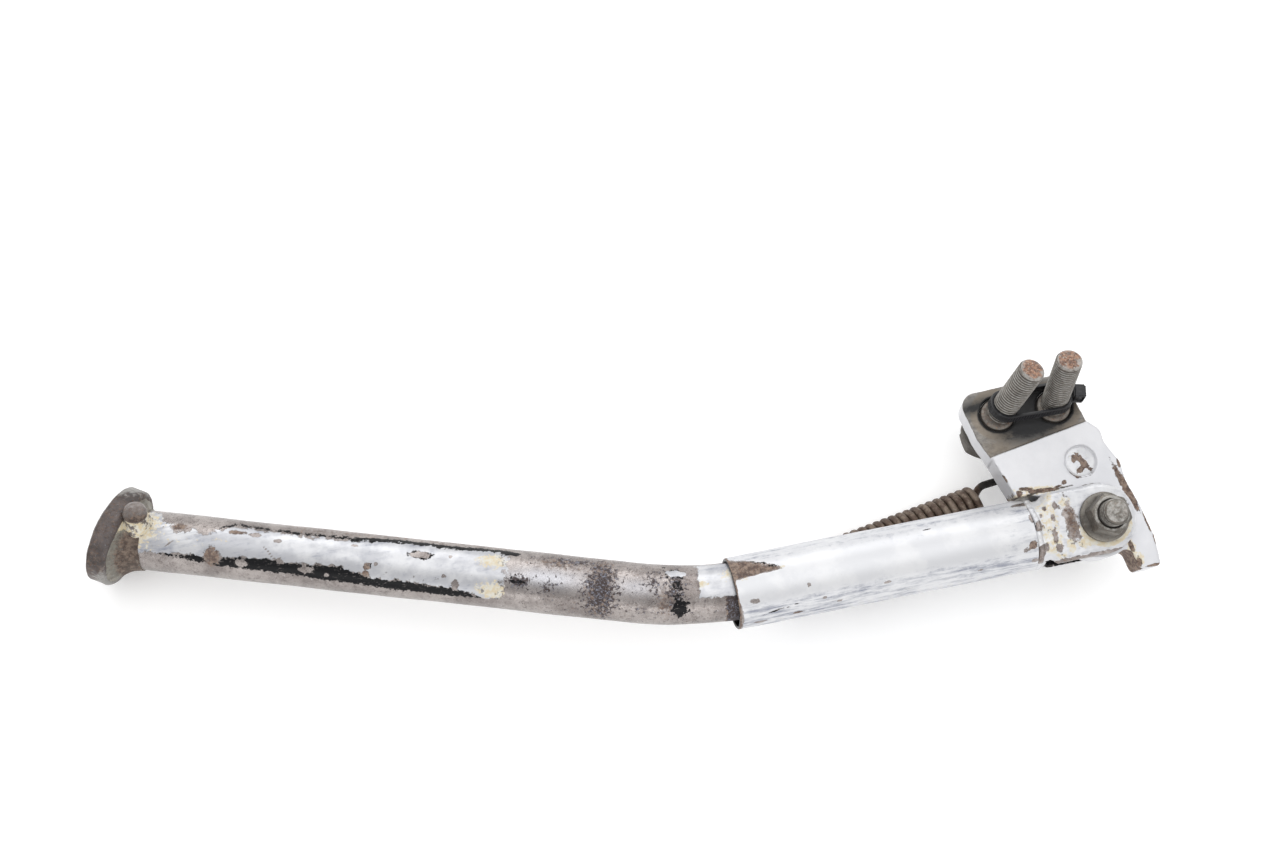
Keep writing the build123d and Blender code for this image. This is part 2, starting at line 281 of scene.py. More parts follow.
def turned(profile, around, closed=False):
    """A turned solid about Z from a profile of (radius, height)."""
    rings = [circle(radius, around) + (0, 0, height) for radius, height in profile]
    return skin(rings, closed)


def swept(path, radius, around, hint=(0, 0, 1)):
    """A round wire along a path."""
    path = np.asarray(path, float)
    along = np.gradient(path, axis=0)
    side = np.array(hint, float)
    rings = []
    for point, tangent in zip(path, along):
        tangent = unit(tangent)
        side = unit(side - np.dot(side, tangent) * tangent)
        across = np.cross(tangent, side)
        flat = circle(radius, around)
        rings.append(point + flat[:, :1] * side + flat[:, 1:2] * across)
    return skin(rings)


def joined(*solids):
    points, faces, base = [], [], 0
    for solid_points, solid_faces in solids:
        points.append(solid_points)
        faces += [tuple(i + base for i in face) for face in solid_faces]
        base += len(solid_points)
    return np.vstack(points), faces


def placed(solid, matrix):
    return moved(solid[0], matrix), solid[1]


def groove(height, angle):
    """How deep in the thread's groove a place is, 0 on the crest and 1 at the root."""
    phase = (height / PITCH - angle / (2 * math.pi)) % 1.0
    return np.clip(np.abs(phase - 0.5) * 2.6 - 0.25, 0, 1)


def threaded(start, end, chamfer, around=64, per_turn=12):
    """A rod with a real screw thread along Z and a chamfered end."""
    angles = round_angles(around)
    rings = []
    for height in np.append(np.arange(start, end, PITCH / per_turn), end):
        radius = THREAD_R - THREAD_DEPTH * groove(height, angles)
        radius = np.minimum(radius, THREAD_R - chamfer + (end - height))
        rings.append(ring_on_z(radius, height, angles))
    return skin(rings)


def flanged_hex(flats, height, flange_r, bore, around=96):
    """A hexagon with a round flange under it and chamfered corners, standing on XY."""
    angles = round_angles(around)
    sixth = math.pi / 3
    hexagon = flats / 2 / np.cos((angles + sixth / 2) % sixth - sixth / 2)
    hexagon = np.minimum(hexagon, 0.985 * flats / math.sqrt(3))
    crown = 0.46 * flats
    slope = (hexagon - crown) * 0.5
    mouth = max(bore, 0.3 * flats)
    dish = 0.0 if bore else -0.7
    rows = [
        (flange_r - 0.4, 0), (flange_r, 0.4), (flange_r, FLANGE_T - 0.7), (flange_r - 0.5, FLANGE_T - 0.2),
        (np.maximum(hexagon + 0.25, flange_r - 1.3), FLANGE_T + 0.1),
        (hexagon + 0.1, FLANGE_T + 0.9), (hexagon, FLANGE_T + 1.3),
        (hexagon, height - slope - 0.25), (hexagon - 0.12, height - slope),
        (crown, height - 0.05), (crown - 0.3, height), (mouth + 0.7, height), (mouth, height - 0.6 + dish)]
    if bore:
        rows.append((bore, 0))
    return skin([ring_on_z(radius, level, angles) for radius, level in rows], closed=bool(bore))


def hermite(start, start_dir, end, end_dir, steps):
    start, end = np.array(start, float), np.array(end, float)
    reach = np.linalg.norm(end - start)
    a, b = unit(start_dir) * reach, unit(end_dir) * reach
    t = np.linspace(0, 1, steps)[:, None]
    return ((2 * t ** 3 - 3 * t ** 2 + 1) * start + (t ** 3 - 2 * t ** 2 + t) * a
            + (3 * t ** 2 - 2 * t ** 3) * end + (t ** 3 - t ** 2) * b)


# ---------------------------------------------------------------- wear and painted light and shade, as fields over a surface

def bumps(points, size, seed):
    """Smooth noise at each point, about -1 to 1."""
    shift = Vector((seed * 7.3, seed * 3.1, seed * 5.7))
    return np.array([noise.noise(Vector(p) / size + shift) for p in points])


def spot(u, v, centre, radii, turn=0.0):
    """1 in the middle of an oval, a half on its edge and 0 well outside it."""
    c, s = math.cos(math.radians(turn)), math.sin(math.radians(turn))
    du, dv = u - centre[0], v - centre[1]
    across = np.hypot((du * c + dv * s) / radii[0], (dv * c - du * s) / radii[1])
    return np.clip(1 - across / 2, 0, 1)


def spots(u, v, *rows):
    """The most of several ovals. A row holds the centre, the radii and, at will, a weight and a turn."""
    result = 0.0
    for row in rows:
        weight = row[4] if len(row) > 4 else 1.0
        result = np.maximum(result, weight * spot(u, v, row[:2], row[2:4], *row[5:]))
    return result


def near(value, place, reach):
    """1 at a place and 0 from reach away."""
    return np.clip(1 - np.abs(value - place) / reach, 0, 1)


def side_of(value, edge, softness):
    """0 well below an edge, a half on it and 1 well above it."""
    return np.clip(0.5 + (value - edge) / (2 * softness), 0, 1)


def between(value, low, high, softness):
    return np.minimum(side_of(value, low, softness), 1 - side_of(value, high, softness))


def along_line(value, line):
    """A value read off a broken line of (place, value) points."""
    places, values = zip(*line)
    return np.interp(value, places, values)


def most(*fields):
    result = fields[0]
    for field in fields[1:]:
        result = np.maximum(result, field)
    return result


# ---------------------------------------------------------------- making a piece

def add_piece(name, solid, body, material, nodes, fields=(), dents=(), sharp=40.0):
    """A finished piece from points in the pivot frame. fields are its wear and its painted light and shade, each a
    number or one number for each point. dents are the (size, depth, seed) of its unevenness."""
    points, faces = solid
    mesh = bpy.data.meshes.new(name)
    mesh.from_pydata(to_row(points).tolist(), [], faces)
    work = bmesh.new()
    work.from_mesh(mesh)
    bmesh.ops.recalc_face_normals(work, faces=work.faces)
    work.to_mesh(mesh)
    work.free()
    if dents:
        normals = np.array([v.normal for v in mesh.vertices]) @ PIVOT_FRAME[:3, :3] / MM
        radius = np.hypot(points[:, 0], points[:, 1])
        sliding = (np.abs(points[:, 2]) < SLOT_HALF + 0.3) * (1 - side_of(radius, SLIDING_R, 1.5))
        for size, depth, seed in dents:
            points = points + normals * (depth * bumps(points, size, seed) * (1 - sliding))[:, None]
        mesh.vertices.foreach_set("co", to_row(points).astype(np.float32).ravel())
    mesh.shade_smooth()
    mesh.set_sharp_from_angle(angle=math.radians(sharp))
    place = mesh.attributes.new("place", "FLOAT_VECTOR", "POINT")
    place.data.foreach_set("vector", points.astype(np.float32).ravel())
    for key, values in dict(fields).items():
        layer = mesh.attributes.new(key, "FLOAT", "POINT")
        layer.data.foreach_set("value", (values + np.zeros(len(points))).astype(np.float32))
    mesh.materials.append(material)
    mesh.update()
    piece = bpy.data.objects.new(name, mesh)
    bpy.context.scene.collection.objects.link(piece)
    if body:
        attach(piece, body)
    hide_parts(*nodes)
    return piece


def forged(node, voxel, rounds):
    """A CAD node's shape with its edges worn soft, as points in the pivot frame and faces."""
    copy = bpy.data.objects.new("forging", frame["nodes"][node].data.copy())
    bpy.context.scene.collection.objects.link(copy)
    remesh = copy.modifiers.new("remesh", "REMESH")
    remesh.mode = "VOXEL"
    remesh.voxel_size = voxel * MM
    smooth = copy.modifiers.new("smooth", "SMOOTH")
    smooth.factor = 0.5
    smooth.iterations = rounds
    graph = bpy.context.evaluated_depsgraph_get()
    mesh = bpy.data.meshes.new_from_object(copy.evaluated_get(graph))
    points = from_row(np.array([v.co for v in mesh.vertices]))
    faces = [tuple(face.vertices) for face in mesh.polygons]
    bpy.data.objects.remove(copy)
    bpy.data.meshes.remove(mesh)
    return points, faces


# ---------------------------------------------------------------- materials

class Graph:
    """A material's nodes, written as calls."""

    def __init__(self, name):
        self.material = bpy.data.materials.new(name)
        self.material.use_nodes = True
        self.tree = self.material.node_tree
        self.tree.nodes.clear()
        self.shader = self.tree.nodes.new("ShaderNodeBsdfPrincipled")
        output = self.tree.nodes.new("ShaderNodeOutputMaterial")
        self.tree.links.new(self.shader.outputs["BSDF"], output.inputs["Surface"])

    def put(self, socket, value):
        if isinstance(value, bpy.types.NodeSocket):
            self.tree.links.new(value, socket)
        elif isinstance(value, tuple) and socket.type == "RGBA":
            socket.default_value = (*value, 1.0)
        else:
            socket.default_value = value

    def node(self, kind, inputs, output, **settings):
        node = self.tree.nodes.new("ShaderNode" + kind)
        for key, value in settings.items():
            setattr(node, key, value)
        for key, value in inputs.items():
            self.put(node.inputs[key], value)
        return node.outputs[output]

    def field(self, name):
        return self.node("Attribute", {}, "Fac", attribute_name=name)

    def noise(self, scale, detail=5.0, roughness=0.6, stretch=None):
        """Noise over the pivot frame's millimetres, so that it stays with the piece as it moves."""
        place = self.node("Attribute", {}, "Vector", attribute_name="place")
        if stretch is not None:
            place = self.node("VectorMath", {0: place, 1: stretch}, "Vector", operation="MULTIPLY")
        inputs = {"Vector": place, "Scale": scale, "Detail": detail, "Roughness": roughness}
        return self.node("TexNoise", inputs, "Fac")

    def math(self, operation, a, b):
        return self.node("Math", {0: a, 1: b}, "Value", operation=operation)

    def times(self, a, b):
        return self.math("MULTIPLY", a, b)

    def highest(self, a, b):
        return self.math("MAXIMUM", a, b)

    def rest(self, share):
        """What a share leaves of 1."""
        return self.math("SUBTRACT", 1.0, share)

    def step(self, value, low, high, to_low=0.0, to_high=1.0):
        inputs = {"Value": value, "From Min": low, "From Max": high, "To Min": to_low, "To Max": to_high}
        return self.node("MapRange", inputs, "Result", interpolation_type="SMOOTHSTEP")

    def mix(self, share, a, b):
        """A colour mixed from two."""
        return self.node("Mix", {0: share, 6: a, 7: b}, 2, data_type="RGBA")

    def blend(self, share, a, b):
        """A number mixed from two."""
        return self.node("Mix", {0: share, 2: a, 3: b}, 0)

    def torn(self, name, amount, scale=0.35, detail=7.0):
        """A field pushed up and down by noise, so that its edge, at a half, is torn."""
        grain = self.math("SUBTRACT", self.noise(scale, detail, 0.7), 0.5)
        return self.math("ADD", self.field(name), self.times(grain, amount))

    def ragged(self, name, amount, scale=0.35, detail=7.0, width=0.02):
        """A field's area, from 0 to 1, with a torn edge."""
        return self.step(self.torn(name, amount, scale, detail), 0.5 - width, 0.5 + width)

    def pointed(self):
        """1 along the outer edges of a shape."""
        return self.node("NewGeometry", {}, "Pointiness")

    def bump(self, height, depth, strength, normal=None):
        """depth is the height's full scale in millimetres."""
        inputs = {"Height": height, "Distance": depth * MM, "Strength": strength}
        if normal is not None:
            inputs["Normal"] = normal
        return self.node("Bump", inputs, "Normal")

    def done(self, colour, roughness, metallic=0.0, normal=None, **extra):
        self.put(self.shader.inputs["Base Color"], colour)
        self.put(self.shader.inputs["Roughness"], roughness)
        self.put(self.shader.inputs["Metallic"], metallic)
        if normal is not None:
            self.put(self.shader.inputs["Normal"], normal)
        for key, value in extra.items():
            self.put(self.shader.inputs[key.replace("_", " ")], value)
        return self.material


SILVER = (0.62, 0.625, 0.645)
SILVER_BRIGHT = (0.76, 0.76, 0.765)
SILVER_SCUFFED = (0.27, 0.285, 0.34)
CREAM = (0.62, 0.52, 0.34)
CREAM_PALE = (0.66, 0.63, 0.54)
UNDERCOAT = (0.008, 0.008, 0.009)
STEEL = (0.38, 0.345, 0.33)
STEEL_DARK = (0.085, 0.068, 0.064)
STEEL_FLECK = (0.62, 0.62, 0.66)
# The colour of the painted highlight on bare steel.
STEEL_HIGHLIGHT = (0.50, 0.50, 0.53)
PIT_DARK = (0.045, 0.030, 0.028)
PIT_PALE = (0.22, 0.23, 0.28)
CHIP_EDGE = (0.035, 0.032, 0.028)
RUST = (0.075, 0.046, 0.036)
RUST_PALE = (0.26, 0.19, 0.145)
RUST_BRIGHT = (0.30, 0.115, 0.045)


def steel_colour(g, light, dark, spread=0.5):
    """Bare steel, mottled at three sizes."""
    broad = g.step(g.noise(0.09, 4.0), 0.35, 0.65)
    tone = g.mix(g.times(broad, spread), light, dark)
    small = g.step(g.noise(0.55, 8.0, 0.8), 0.50, 0.64)
    tone = g.mix(g.times(small, 0.62), tone, dark)
    flecks = g.step(g.noise(1.3, 6.0, 0.8), 0.60, 0.68)
    return g.mix(g.times(flecks, 0.7), tone, STEEL_FLECK)


def rust_colour(g):
    """Rust: dark brown, grey brown and a few orange grains."""
    coarse = g.step(g.noise(0.5, 7.0, 0.75), 0.42, 0.60)
    grains = g.step(g.noise(1.6, 5.0, 0.7), 0.58, 0.66)
    return g.mix(g.times(grains, 0.55), g.mix(coarse, RUST, RUST_PALE), RUST_BRIGHT)


def cream_colour(g):
    return g.mix(g.step(g.noise(0.6, 5.0, 0.7), 0.42, 0.58), CREAM, CREAM_PALE)


def metal_under_paint(g, rust, pitted):
    metal = steel_colour(g, STEEL, STEEL_DARK)
    metal = g.mix(g.times(rust, 0.9), metal, rust_colour(g))
    # Painted highlight: a bright steel colour laid along the leg's bare bend.
    metal = g.mix(g.times(g.field("shiny"), 0.9), metal, STEEL_HIGHLIGHT)
    pits = g.mix(g.step(g.noise(1.1, 6.0, 0.8), 0.50, 0.62), PIT_DARK, PIT_PALE)
    return g.mix(pitted, metal, pits)


def silver_coat(g, tone, worn, cream, outline):
    """Silver paint: scuffed, stained with cream, and dark round its chips."""
    paint = g.mix(worn, tone, SILVER_SCUFFED)
    pale = g.step(g.noise(0.07, 5.0), 0.45, 0.62)
    paint = g.mix(g.times(pale, 0.45), paint, SILVER_BRIGHT)
    paint = g.mix(g.times(cream, 0.9), paint, cream_colour(g))
    edge = g.times(outline, g.step(g.noise(0.35, 4.0), 0.42, 0.52))
    return g.mix(g.times(edge, 0.85), paint, CHIP_EDGE)


def worn_paint(name, streaks=(0.12, 1.0, 1.0), tone=SILVER, shine=0.42, gloss=0.40):
    """Silver paint over black undercoat over steel, each torn away by its own field."""
    g = Graph(name)
    torn = g.torn("bare", 1.1)
    bare = g.step(torn, 0.485, 0.515)
    outline = g.times(g.step(torn, 0.44, 0.50), g.rest(g.step(torn, 0.52, 0.60)))
    rust = g.ragged("rust", 1.3, 0.8, width=0.16)
    cream = g.ragged("cream", 1.4, 0.8, width=0.07)
    scuff = g.ragged("scuff", 1.5, 0.4, width=0.3)
    pitted = g.ragged("pitted", 1.9, 0.75, detail=9.0, width=0.05)
    fine = g.noise(1.4, 5.0, 0.7)
    lines = g.times(g.step(g.noise(1.2, 6.0, 0.7, stretch=streaks), 0.60, 0.66), 0.5)
    black = g.times(g.ragged("black", 1.45, 0.62, detail=9.0), g.rest(lines))
    worn = g.times(g.step(g.noise(0.55, 8.0, 0.75, stretch=streaks), 0.44, 0.62), scuff)
    specks = g.step(g.noise(1.1, 3.0), 0.735, 0.76)
    hidden = g.highest(bare, g.times(specks, g.field("specks")))
    scores = g.step(g.noise(0.9, 9.0, 0.8, stretch=(streaks[0] * 0.6, 1.0, 1.0)), 0.63, 0.65)
    hidden = g.highest(hidden, g.times(scores, g.times(scuff, 0.75)))
    under = g.mix(black, metal_under_paint(g, rust, pitted), UNDERCOAT)
    colour = g.mix(hidden, silver_coat(g, tone, worn, cream, outline), under)
    plain = g.times(hidden, g.rest(black))
    shiny_steel = g.times(g.times(plain, g.rest(rust)), g.rest(g.times(pitted, 0.7)))
    painted = g.times(g.rest(hidden), g.rest(cream))
    metallic = g.blend(shiny_steel, g.times(painted, shine), 0.92)
    rough_steel = g.blend(rust, g.step(fine, 0.3, 0.7, 0.20, 0.40), 0.75)
    rough_under = g.blend(black, rough_steel, g.step(fine, 0.3, 0.7, 0.12, 0.30))
    roughness = g.blend(hidden, g.blend(worn, gloss, 0.55), rough_under)
    layers = g.rest(g.times(hidden, g.blend(black, 1.0, 0.6)))
    normal = g.bump(layers, 0.16, 0.9)
    normal = g.bump(g.noise(0.9, 4.0, 0.65), 0.05, 0.5, normal)
    normal = g.bump(g.times(fine, g.highest(plain, 0.2)), 0.14, 0.7, normal)
    return g.done(colour, roughness, metallic, normal, Specular_IOR_Level=g.blend(black, 0.5, 0.12))


def bracket_paint():
    """The forging's silver paint, with its pad worn to greasy steel, and painted shade round the ear, under the
    plate's lower edge and in the pad's holes.
    """
    g = Graph("bracket_paint")
    grime = g.ragged("grime", 0.6, 1.2, width=0.10)
    ring = g.ragged("ring", 1.0, 0.5, width=0.3)
    torn = g.torn("bare", 1.0, 0.6)
    bare = g.step(torn, 0.485, 0.515)
    outline = g.times(g.step(torn, 0.42, 0.49), g.rest(bare))
    edge = g.times(g.step(g.pointed(), 0.53, 0.60), g.step(g.noise(0.25, 5.0, 0.7), 0.56, 0.60))
    bare = g.highest(bare, g.times(edge, 0.9))
    brushed = g.noise(0.5, 7.0, 0.75, stretch=(0.6, 1.0, 1.0))
    dull = g.times(g.step(g.noise(0.06, 5.0), 0.4, 0.7), 0.5)
    paint = g.mix(dull, (0.66, 0.66, 0.68), (0.54, 0.55, 0.58))
    paint = g.mix(g.times(g.ragged("cream", 1.3, 0.8, width=0.05), 0.85), paint, cream_colour(g))
    paint = g.mix(g.times(outline, 0.6), paint, (0.06, 0.05, 0.04))
    # Painted shadow: a dark line round the leg's ear and along the plate's lower edge.
    paint = g.mix(g.ragged("dirt", 0.9, 0.4, width=0.12), paint, (0.07, 0.06, 0.05))
    greasy = g.mix(g.step(brushed, 0.30, 0.70), (0.11, 0.105, 0.10), (0.30, 0.28, 0.255))
    greasy = g.mix(g.times(ring, 0.5), greasy, (0.21, 0.165, 0.115))
    # Soot on the pad, and painted shade at the rims and walls of its holes.
    soot = g.math("ADD", g.field("soot"), g.times(g.math("SUBTRACT", brushed, 0.5), 0.7))
    greasy = g.mix(g.step(soot, 0.12, 0.58), greasy, (0.022, 0.022, 0.023))
    colour = g.mix(grime, g.mix(bare, paint, rust_colour(g)), greasy)
    roughness = g.blend(grime, g.blend(bare, 0.36, 0.65), g.step(brushed, 0.3, 0.7, 0.36, 0.55))
    metallic = g.blend(grime, g.times(g.rest(bare), 0.25), 0.5)
    normal = g.bump(g.rest(bare), 0.18, 0.9)
    normal = g.bump(g.noise(0.5, 4.0), 0.08, 0.6, normal)
    normal = g.bump(g.times(brushed, grime), 0.08, 0.6, normal)
    return g.done(colour, roughness, metallic, normal)


def bare_steel(name, light, dark, roughness=0.42, rusty=0.35, metallic=0.85):
    """Old steel without paint: stains, pits and a little rust, dark where dirt collects and where shade is painted
    into thread roots, crevices and hollows.
    """
    g = Graph(name)
    fine = g.noise(1.6, 6.0, 0.75)
    stains = g.times(g.step(g.noise(0.45, 6.0, 0.7), 0.55, 0.7), rusty)
    rust = g.highest(g.times(g.ragged("rust", 1.3, 0.8, width=0.2), 0.9), stains)
    cream = g.ragged("cream", 1.4, 0.8, width=0.05)
    pale = g.ragged("pale", 1.0, 0.5, width=0.15)
    orange = g.ragged("orange", 1.2, 0.7, width=0.2)
    dirt = g.field("dirt")
    scale = g.mix(g.step(g.noise(0.9, 6.0, 0.75), 0.44, 0.58), (0.12, 0.065, 0.05), (0.40, 0.22, 0.14))
    scale = g.mix(g.step(g.noise(1.3, 5.0, 0.7), 0.58, 0.63), scale, (0.58, 0.52, 0.44))
    colour = g.mix(rust, steel_colour(g, light, dark, 0.7), rust_colour(g))
    colour = g.mix(g.times(orange, 0.9), colour, scale)
    # pale: a lighter grey for worn ends, and also a painted highlight on thread crests and the foot's top rim and
    # a painted reflection on its bottom rim.
    colour = g.mix(g.times(pale, 0.8), colour, (0.44, 0.43, 0.41))
    colour = g.mix(cream, colour, cream_colour(g))
    # Near black for real dirt and for painted shade.
    colour = g.mix(dirt, colour, (0.016, 0.013, 0.011))
    rust = g.highest(rust, g.highest(dirt, orange))
    rough = g.blend(rust, g.step(fine, 0.3, 0.7, roughness - 0.08, roughness + 0.12), 0.8)
    metal = g.times(g.rest(g.highest(rust, cream)), metallic)
    normal = g.bump(g.noise(0.6, 5.0, 0.7), 0.14, 0.7)
    return g.done(colour, rough, metal, g.bump(fine, 0.07, 0.7, normal))


def nylon():
    g = Graph("black_nylon")
    fine = g.noise(2.5, 4.0, 0.6)
    colour = g.mix(g.step(g.noise(0.4, 5.0, 0.7), 0.5, 0.75), (0.012, 0.012, 0.014), (0.045, 0.045, 0.048))
    return g.done(colour, g.step(fine, 0.3, 0.7, 0.32, 0.48), 0.0, g.bump(fine, 0.03, 0.4))


def rusty_wire():
    g = Graph("rusty_wire")
    fine = g.noise(1.9, 6.0, 0.75)
    broad = g.step(g.noise(0.25, 5.0, 0.65), 0.42, 0.62)
    colour = g.mix(broad, (0.085, 0.055, 0.040), (0.20, 0.155, 0.12))
    colour = g.mix(g.times(g.step(fine, 0.55, 0.7), 0.5), colour, (0.17, 0.085, 0.045))
    flakes = g.step(g.noise(0.9, 6.0, 0.8), 0.60, 0.66)
    colour = g.mix(g.times(flakes, 0.6), colour, (0.42, 0.38, 0.33))
    colour = g.mix(g.ragged("oily", 0.8, 0.4, width=0.2), colour, (0.022, 0.020, 0.018))
    return g.done(colour, g.step(fine, 0.3, 0.7, 0.42, 0.75), 0.45, g.bump(fine, 0.08, 0.7))


def floor_material():
    g = Graph("pale_floor")
    clouds = g.step(g.node("TexNoise", {"Scale": 3.0}, "Fac"), 0.3, 0.7)
    shade = g.mix(clouds, (0.94, 0.94, 0.94), (0.95, 0.95, 0.945))
    return g.done(shade, 0.85, Emission_Color=(1.0, 1.0, 1.0), Emission_Strength=0.17)


# ---------------------------------------------------------------- the leg

def leg_axis():
    """The bend's corner, the leg's direction below the bend, and the side it bends to."""
    side = np.array([0, math.cos(LEG_BEND_TURN), math.sin(LEG_BEND_TURN)])
    out = np.array([-1.0, 0, 0]) * math.cos(LEG_BEND) + side * math.sin(LEG_BEND)
    return np.array([LEG_BEND_X, TUBE_OFFSET, 0.0]), out, side


CORNER, OUT, SIDE = leg_axis()
FOOT_CENTRE = CORNER + OUT * LEG_LENGTH
FOOT_OUT = np.array(Matrix.Rotation(-FOOT_TILT, 3, "Z") @ Vector(OUT))
TANGENT = LEG_BEND_R * math.tan(LEG_BEND / 2)
STRAIGHT = LEG_LENGTH - TANGENT
ARC = LEG_BEND_R * LEG_BEND
TUBE_LENGTH = STRAIGHT + ARC - (CORNER[0] + TANGENT) + TUBE_INNER_END


def leg_point(s):
    """A point of the tube's centre line and its direction, s millimetres up from the foot."""
    bend_end = CORNER + np.array([TANGENT, 0, 0])
    if s < STRAIGHT:
        return FOOT_CENTRE - OUT * s, -OUT
    if s < STRAIGHT + ARC:
        angle = LEG_BEND - (s - STRAIGHT) / LEG_BEND_R
        back = np.array([-1.0, 0, 0])
        centre = bend_end + SIDE * LEG_BEND_R
        point = centre + LEG_BEND_R * (back * math.sin(angle) - SIDE * math.cos(angle))
        return point, -(back * math.cos(angle) + SIDE * math.sin(angle))
    return bend_end + np.array([s - STRAIGHT - ARC, 0, 0]), np.array([1.0, 0, 0])


def leg_tube_solid():
    """The bent tube: its solid, and each point's distance up from the foot and angle round the tube."""
    around = 96
    angles = round_angles(around)
    outer = np.arange(0, TUBE_LENGTH, 0.85)
    inner = np.arange(TUBE_LENGTH, 6, -4.0)
    rings, places = [], []
    for s, radius in [(s, TUBE_R) for s in outer] + [(s, TUBE_R - TUBE_WALL) for s in inner]:
        point, tangent = leg_point(s)
        up = unit(np.array([0, 0, 1.0]) - tangent[2] * tangent)
        across = np.cross(up, tangent)
        squeeze = 1 - 0.035 * math.exp(-((s - SQUEEZED_AT) / 22) ** 2)
        offsets = radius * (np.cos(angles)[:, None] * up + squeeze * np.sin(angles)[:, None] * across)
        lift = offsets @ FOOT_OUT / (-OUT @ FOOT_OUT) * max(0.0, 1 - s / 12)
        rings.append(point + offsets - lift[:, None] * tangent)
        places.append(np.stack([s + 0 * angles, np.degrees(np.arctan2(np.sin(angles), np.cos(angles)))], 1))
    s, angle = np.vstack(places).T
    return skin(rings, closed=True), s, angle


# Broken lines of (distance up from the foot, angle round the tube): the silver's edges and the black's.
PAINT_TOP = ((0, 60), (14, 62), (20, 30), (31, 26), (38, 26), (44, 40), (68, 34), (84, 37), (105, 47),
             (125, 45), (145, 50))
PAINT_LOW = ((0, -60), (12, -30), (33, -24), (56, -17), (70, -20), (85, -17), (96, -32), (107, -31),
             (127, -35), (139, -50), (150, -50))
BLACK_LOW = ((0, -60), (15, -32), (20, -36), (40, -44), (70, -48), (86, -52), (107, -58), (126, -57),
             (145, -52), (160, -40))


LEG_CHIPS = (
    (24, 5.2, 3.8, 2.2), (33, 5.0, 3.2, 2.0), (45, 5.4, 3.2, 1.1), (52, 5.2, 1.8, 1.0), (60.5, 3.7, 1.7, 0.8),
    (37, -4.7, 3.0, 3.2), (48, -6.1, 2.4, 1.1), (62.7, -4.1, 1.8, 1.0), (94.8, -2.1, 1.2, 1.3),
    (94.2, -5.1, 1.6, 1.2), (113.6, 4.2, 4.6, 1.6), (125, 4.9, 0.8, 0.7), (123.4, -2.7, 0.8, 0.7),
    (127.9, -5.6, 1.4, 2.0), (72.2, -6.1, 2.6, 1.0), (98, -1.0, 0.7, 0.7), (89, 5.2, 1.5, 0.5),
    (19, 8.0, 2.6, 1.4), (26, 7.2, 2.2, 1.5))
LEG_SCRATCHES = ((57.5, -0.6, 4.2, 0.28, 1, -38), (21, -1.6, 2.2, 0.3, 1, 40), (61, -3.8, 3.4, 0.3, 1, 35))
LEG_CLEAN = ((37, -4.7, 3.2, 3.4), (48, -6.1, 2.6, 1.3), (72.2, -6.1, 2.8, 1.2), (94.2, -5.1, 1.6, 1.4),
             (80.2, -7.2, 1.0, 0.8), (127.9, -5.6, 1.2, 2.0))
LEG_BLACK = ((208.8, 2.0, 3.6, 12, 0.60), (209.5, -6.5, 3.2, 4.0, 0.9), (147, -0.5, 5, 2.0, 0.58),
             (150, -2.0, 6, 2.0, 0.60), (205, 8, 3.0, 7, 0.56))
LEG_HALOES = ((113.6, 4.2, 5.8, 2.6, 0.95), (94.8, -2.1, 1.9, 2.0, 0.95))
LEG_PITS = ((181, -1.5, 8.0, 15, 0.74), (161, -3, 5.5, 4.0, 0.60), (170, 9, 20, 3.2, 0.60),
            (201, 3, 7, 10, 0.54), (151, -2.0, 5, 3.0, 0.75), (217, 7, 2.5, 6, 0.4), (195, -8, 30, 3, 0.42),
            (208, 2, 5, 11, 0.66), (37, -4.7, 3.2, 3.8, 0.3))
LEG_RUST = ((37, -4.7, 3.0, 3.6), (24, 5.2, 3.0, 1.6, 0.8), (94.5, -3.5, 1.6, 2.6), (45, 5.4, 3.2, 1.0),
            (181, -1, 6.0, 15, 0.75), (204, -4, 4.0, 8, 0.62), (165, 7, 14, 4, 0.6))
LEG_CREAM = ((140.5, 5.0, 6.5, 3.0, 0.85), (142, -6.5, 6.5, 4.0, 0.85), (217, 2.6, 2.2, 1.3),
             (6, 4, 10, 9, 0.95), (228, 6, 4, 3, 0.7), (20, -0.8, 24, 3.6, 0.40), (40, 1.8, 5, 1.2, 0.5))
PAINT_END = 145
# The stretch of the bend that carries the painted highlight.
HIGHLIGHT_BEND = (150, 198)


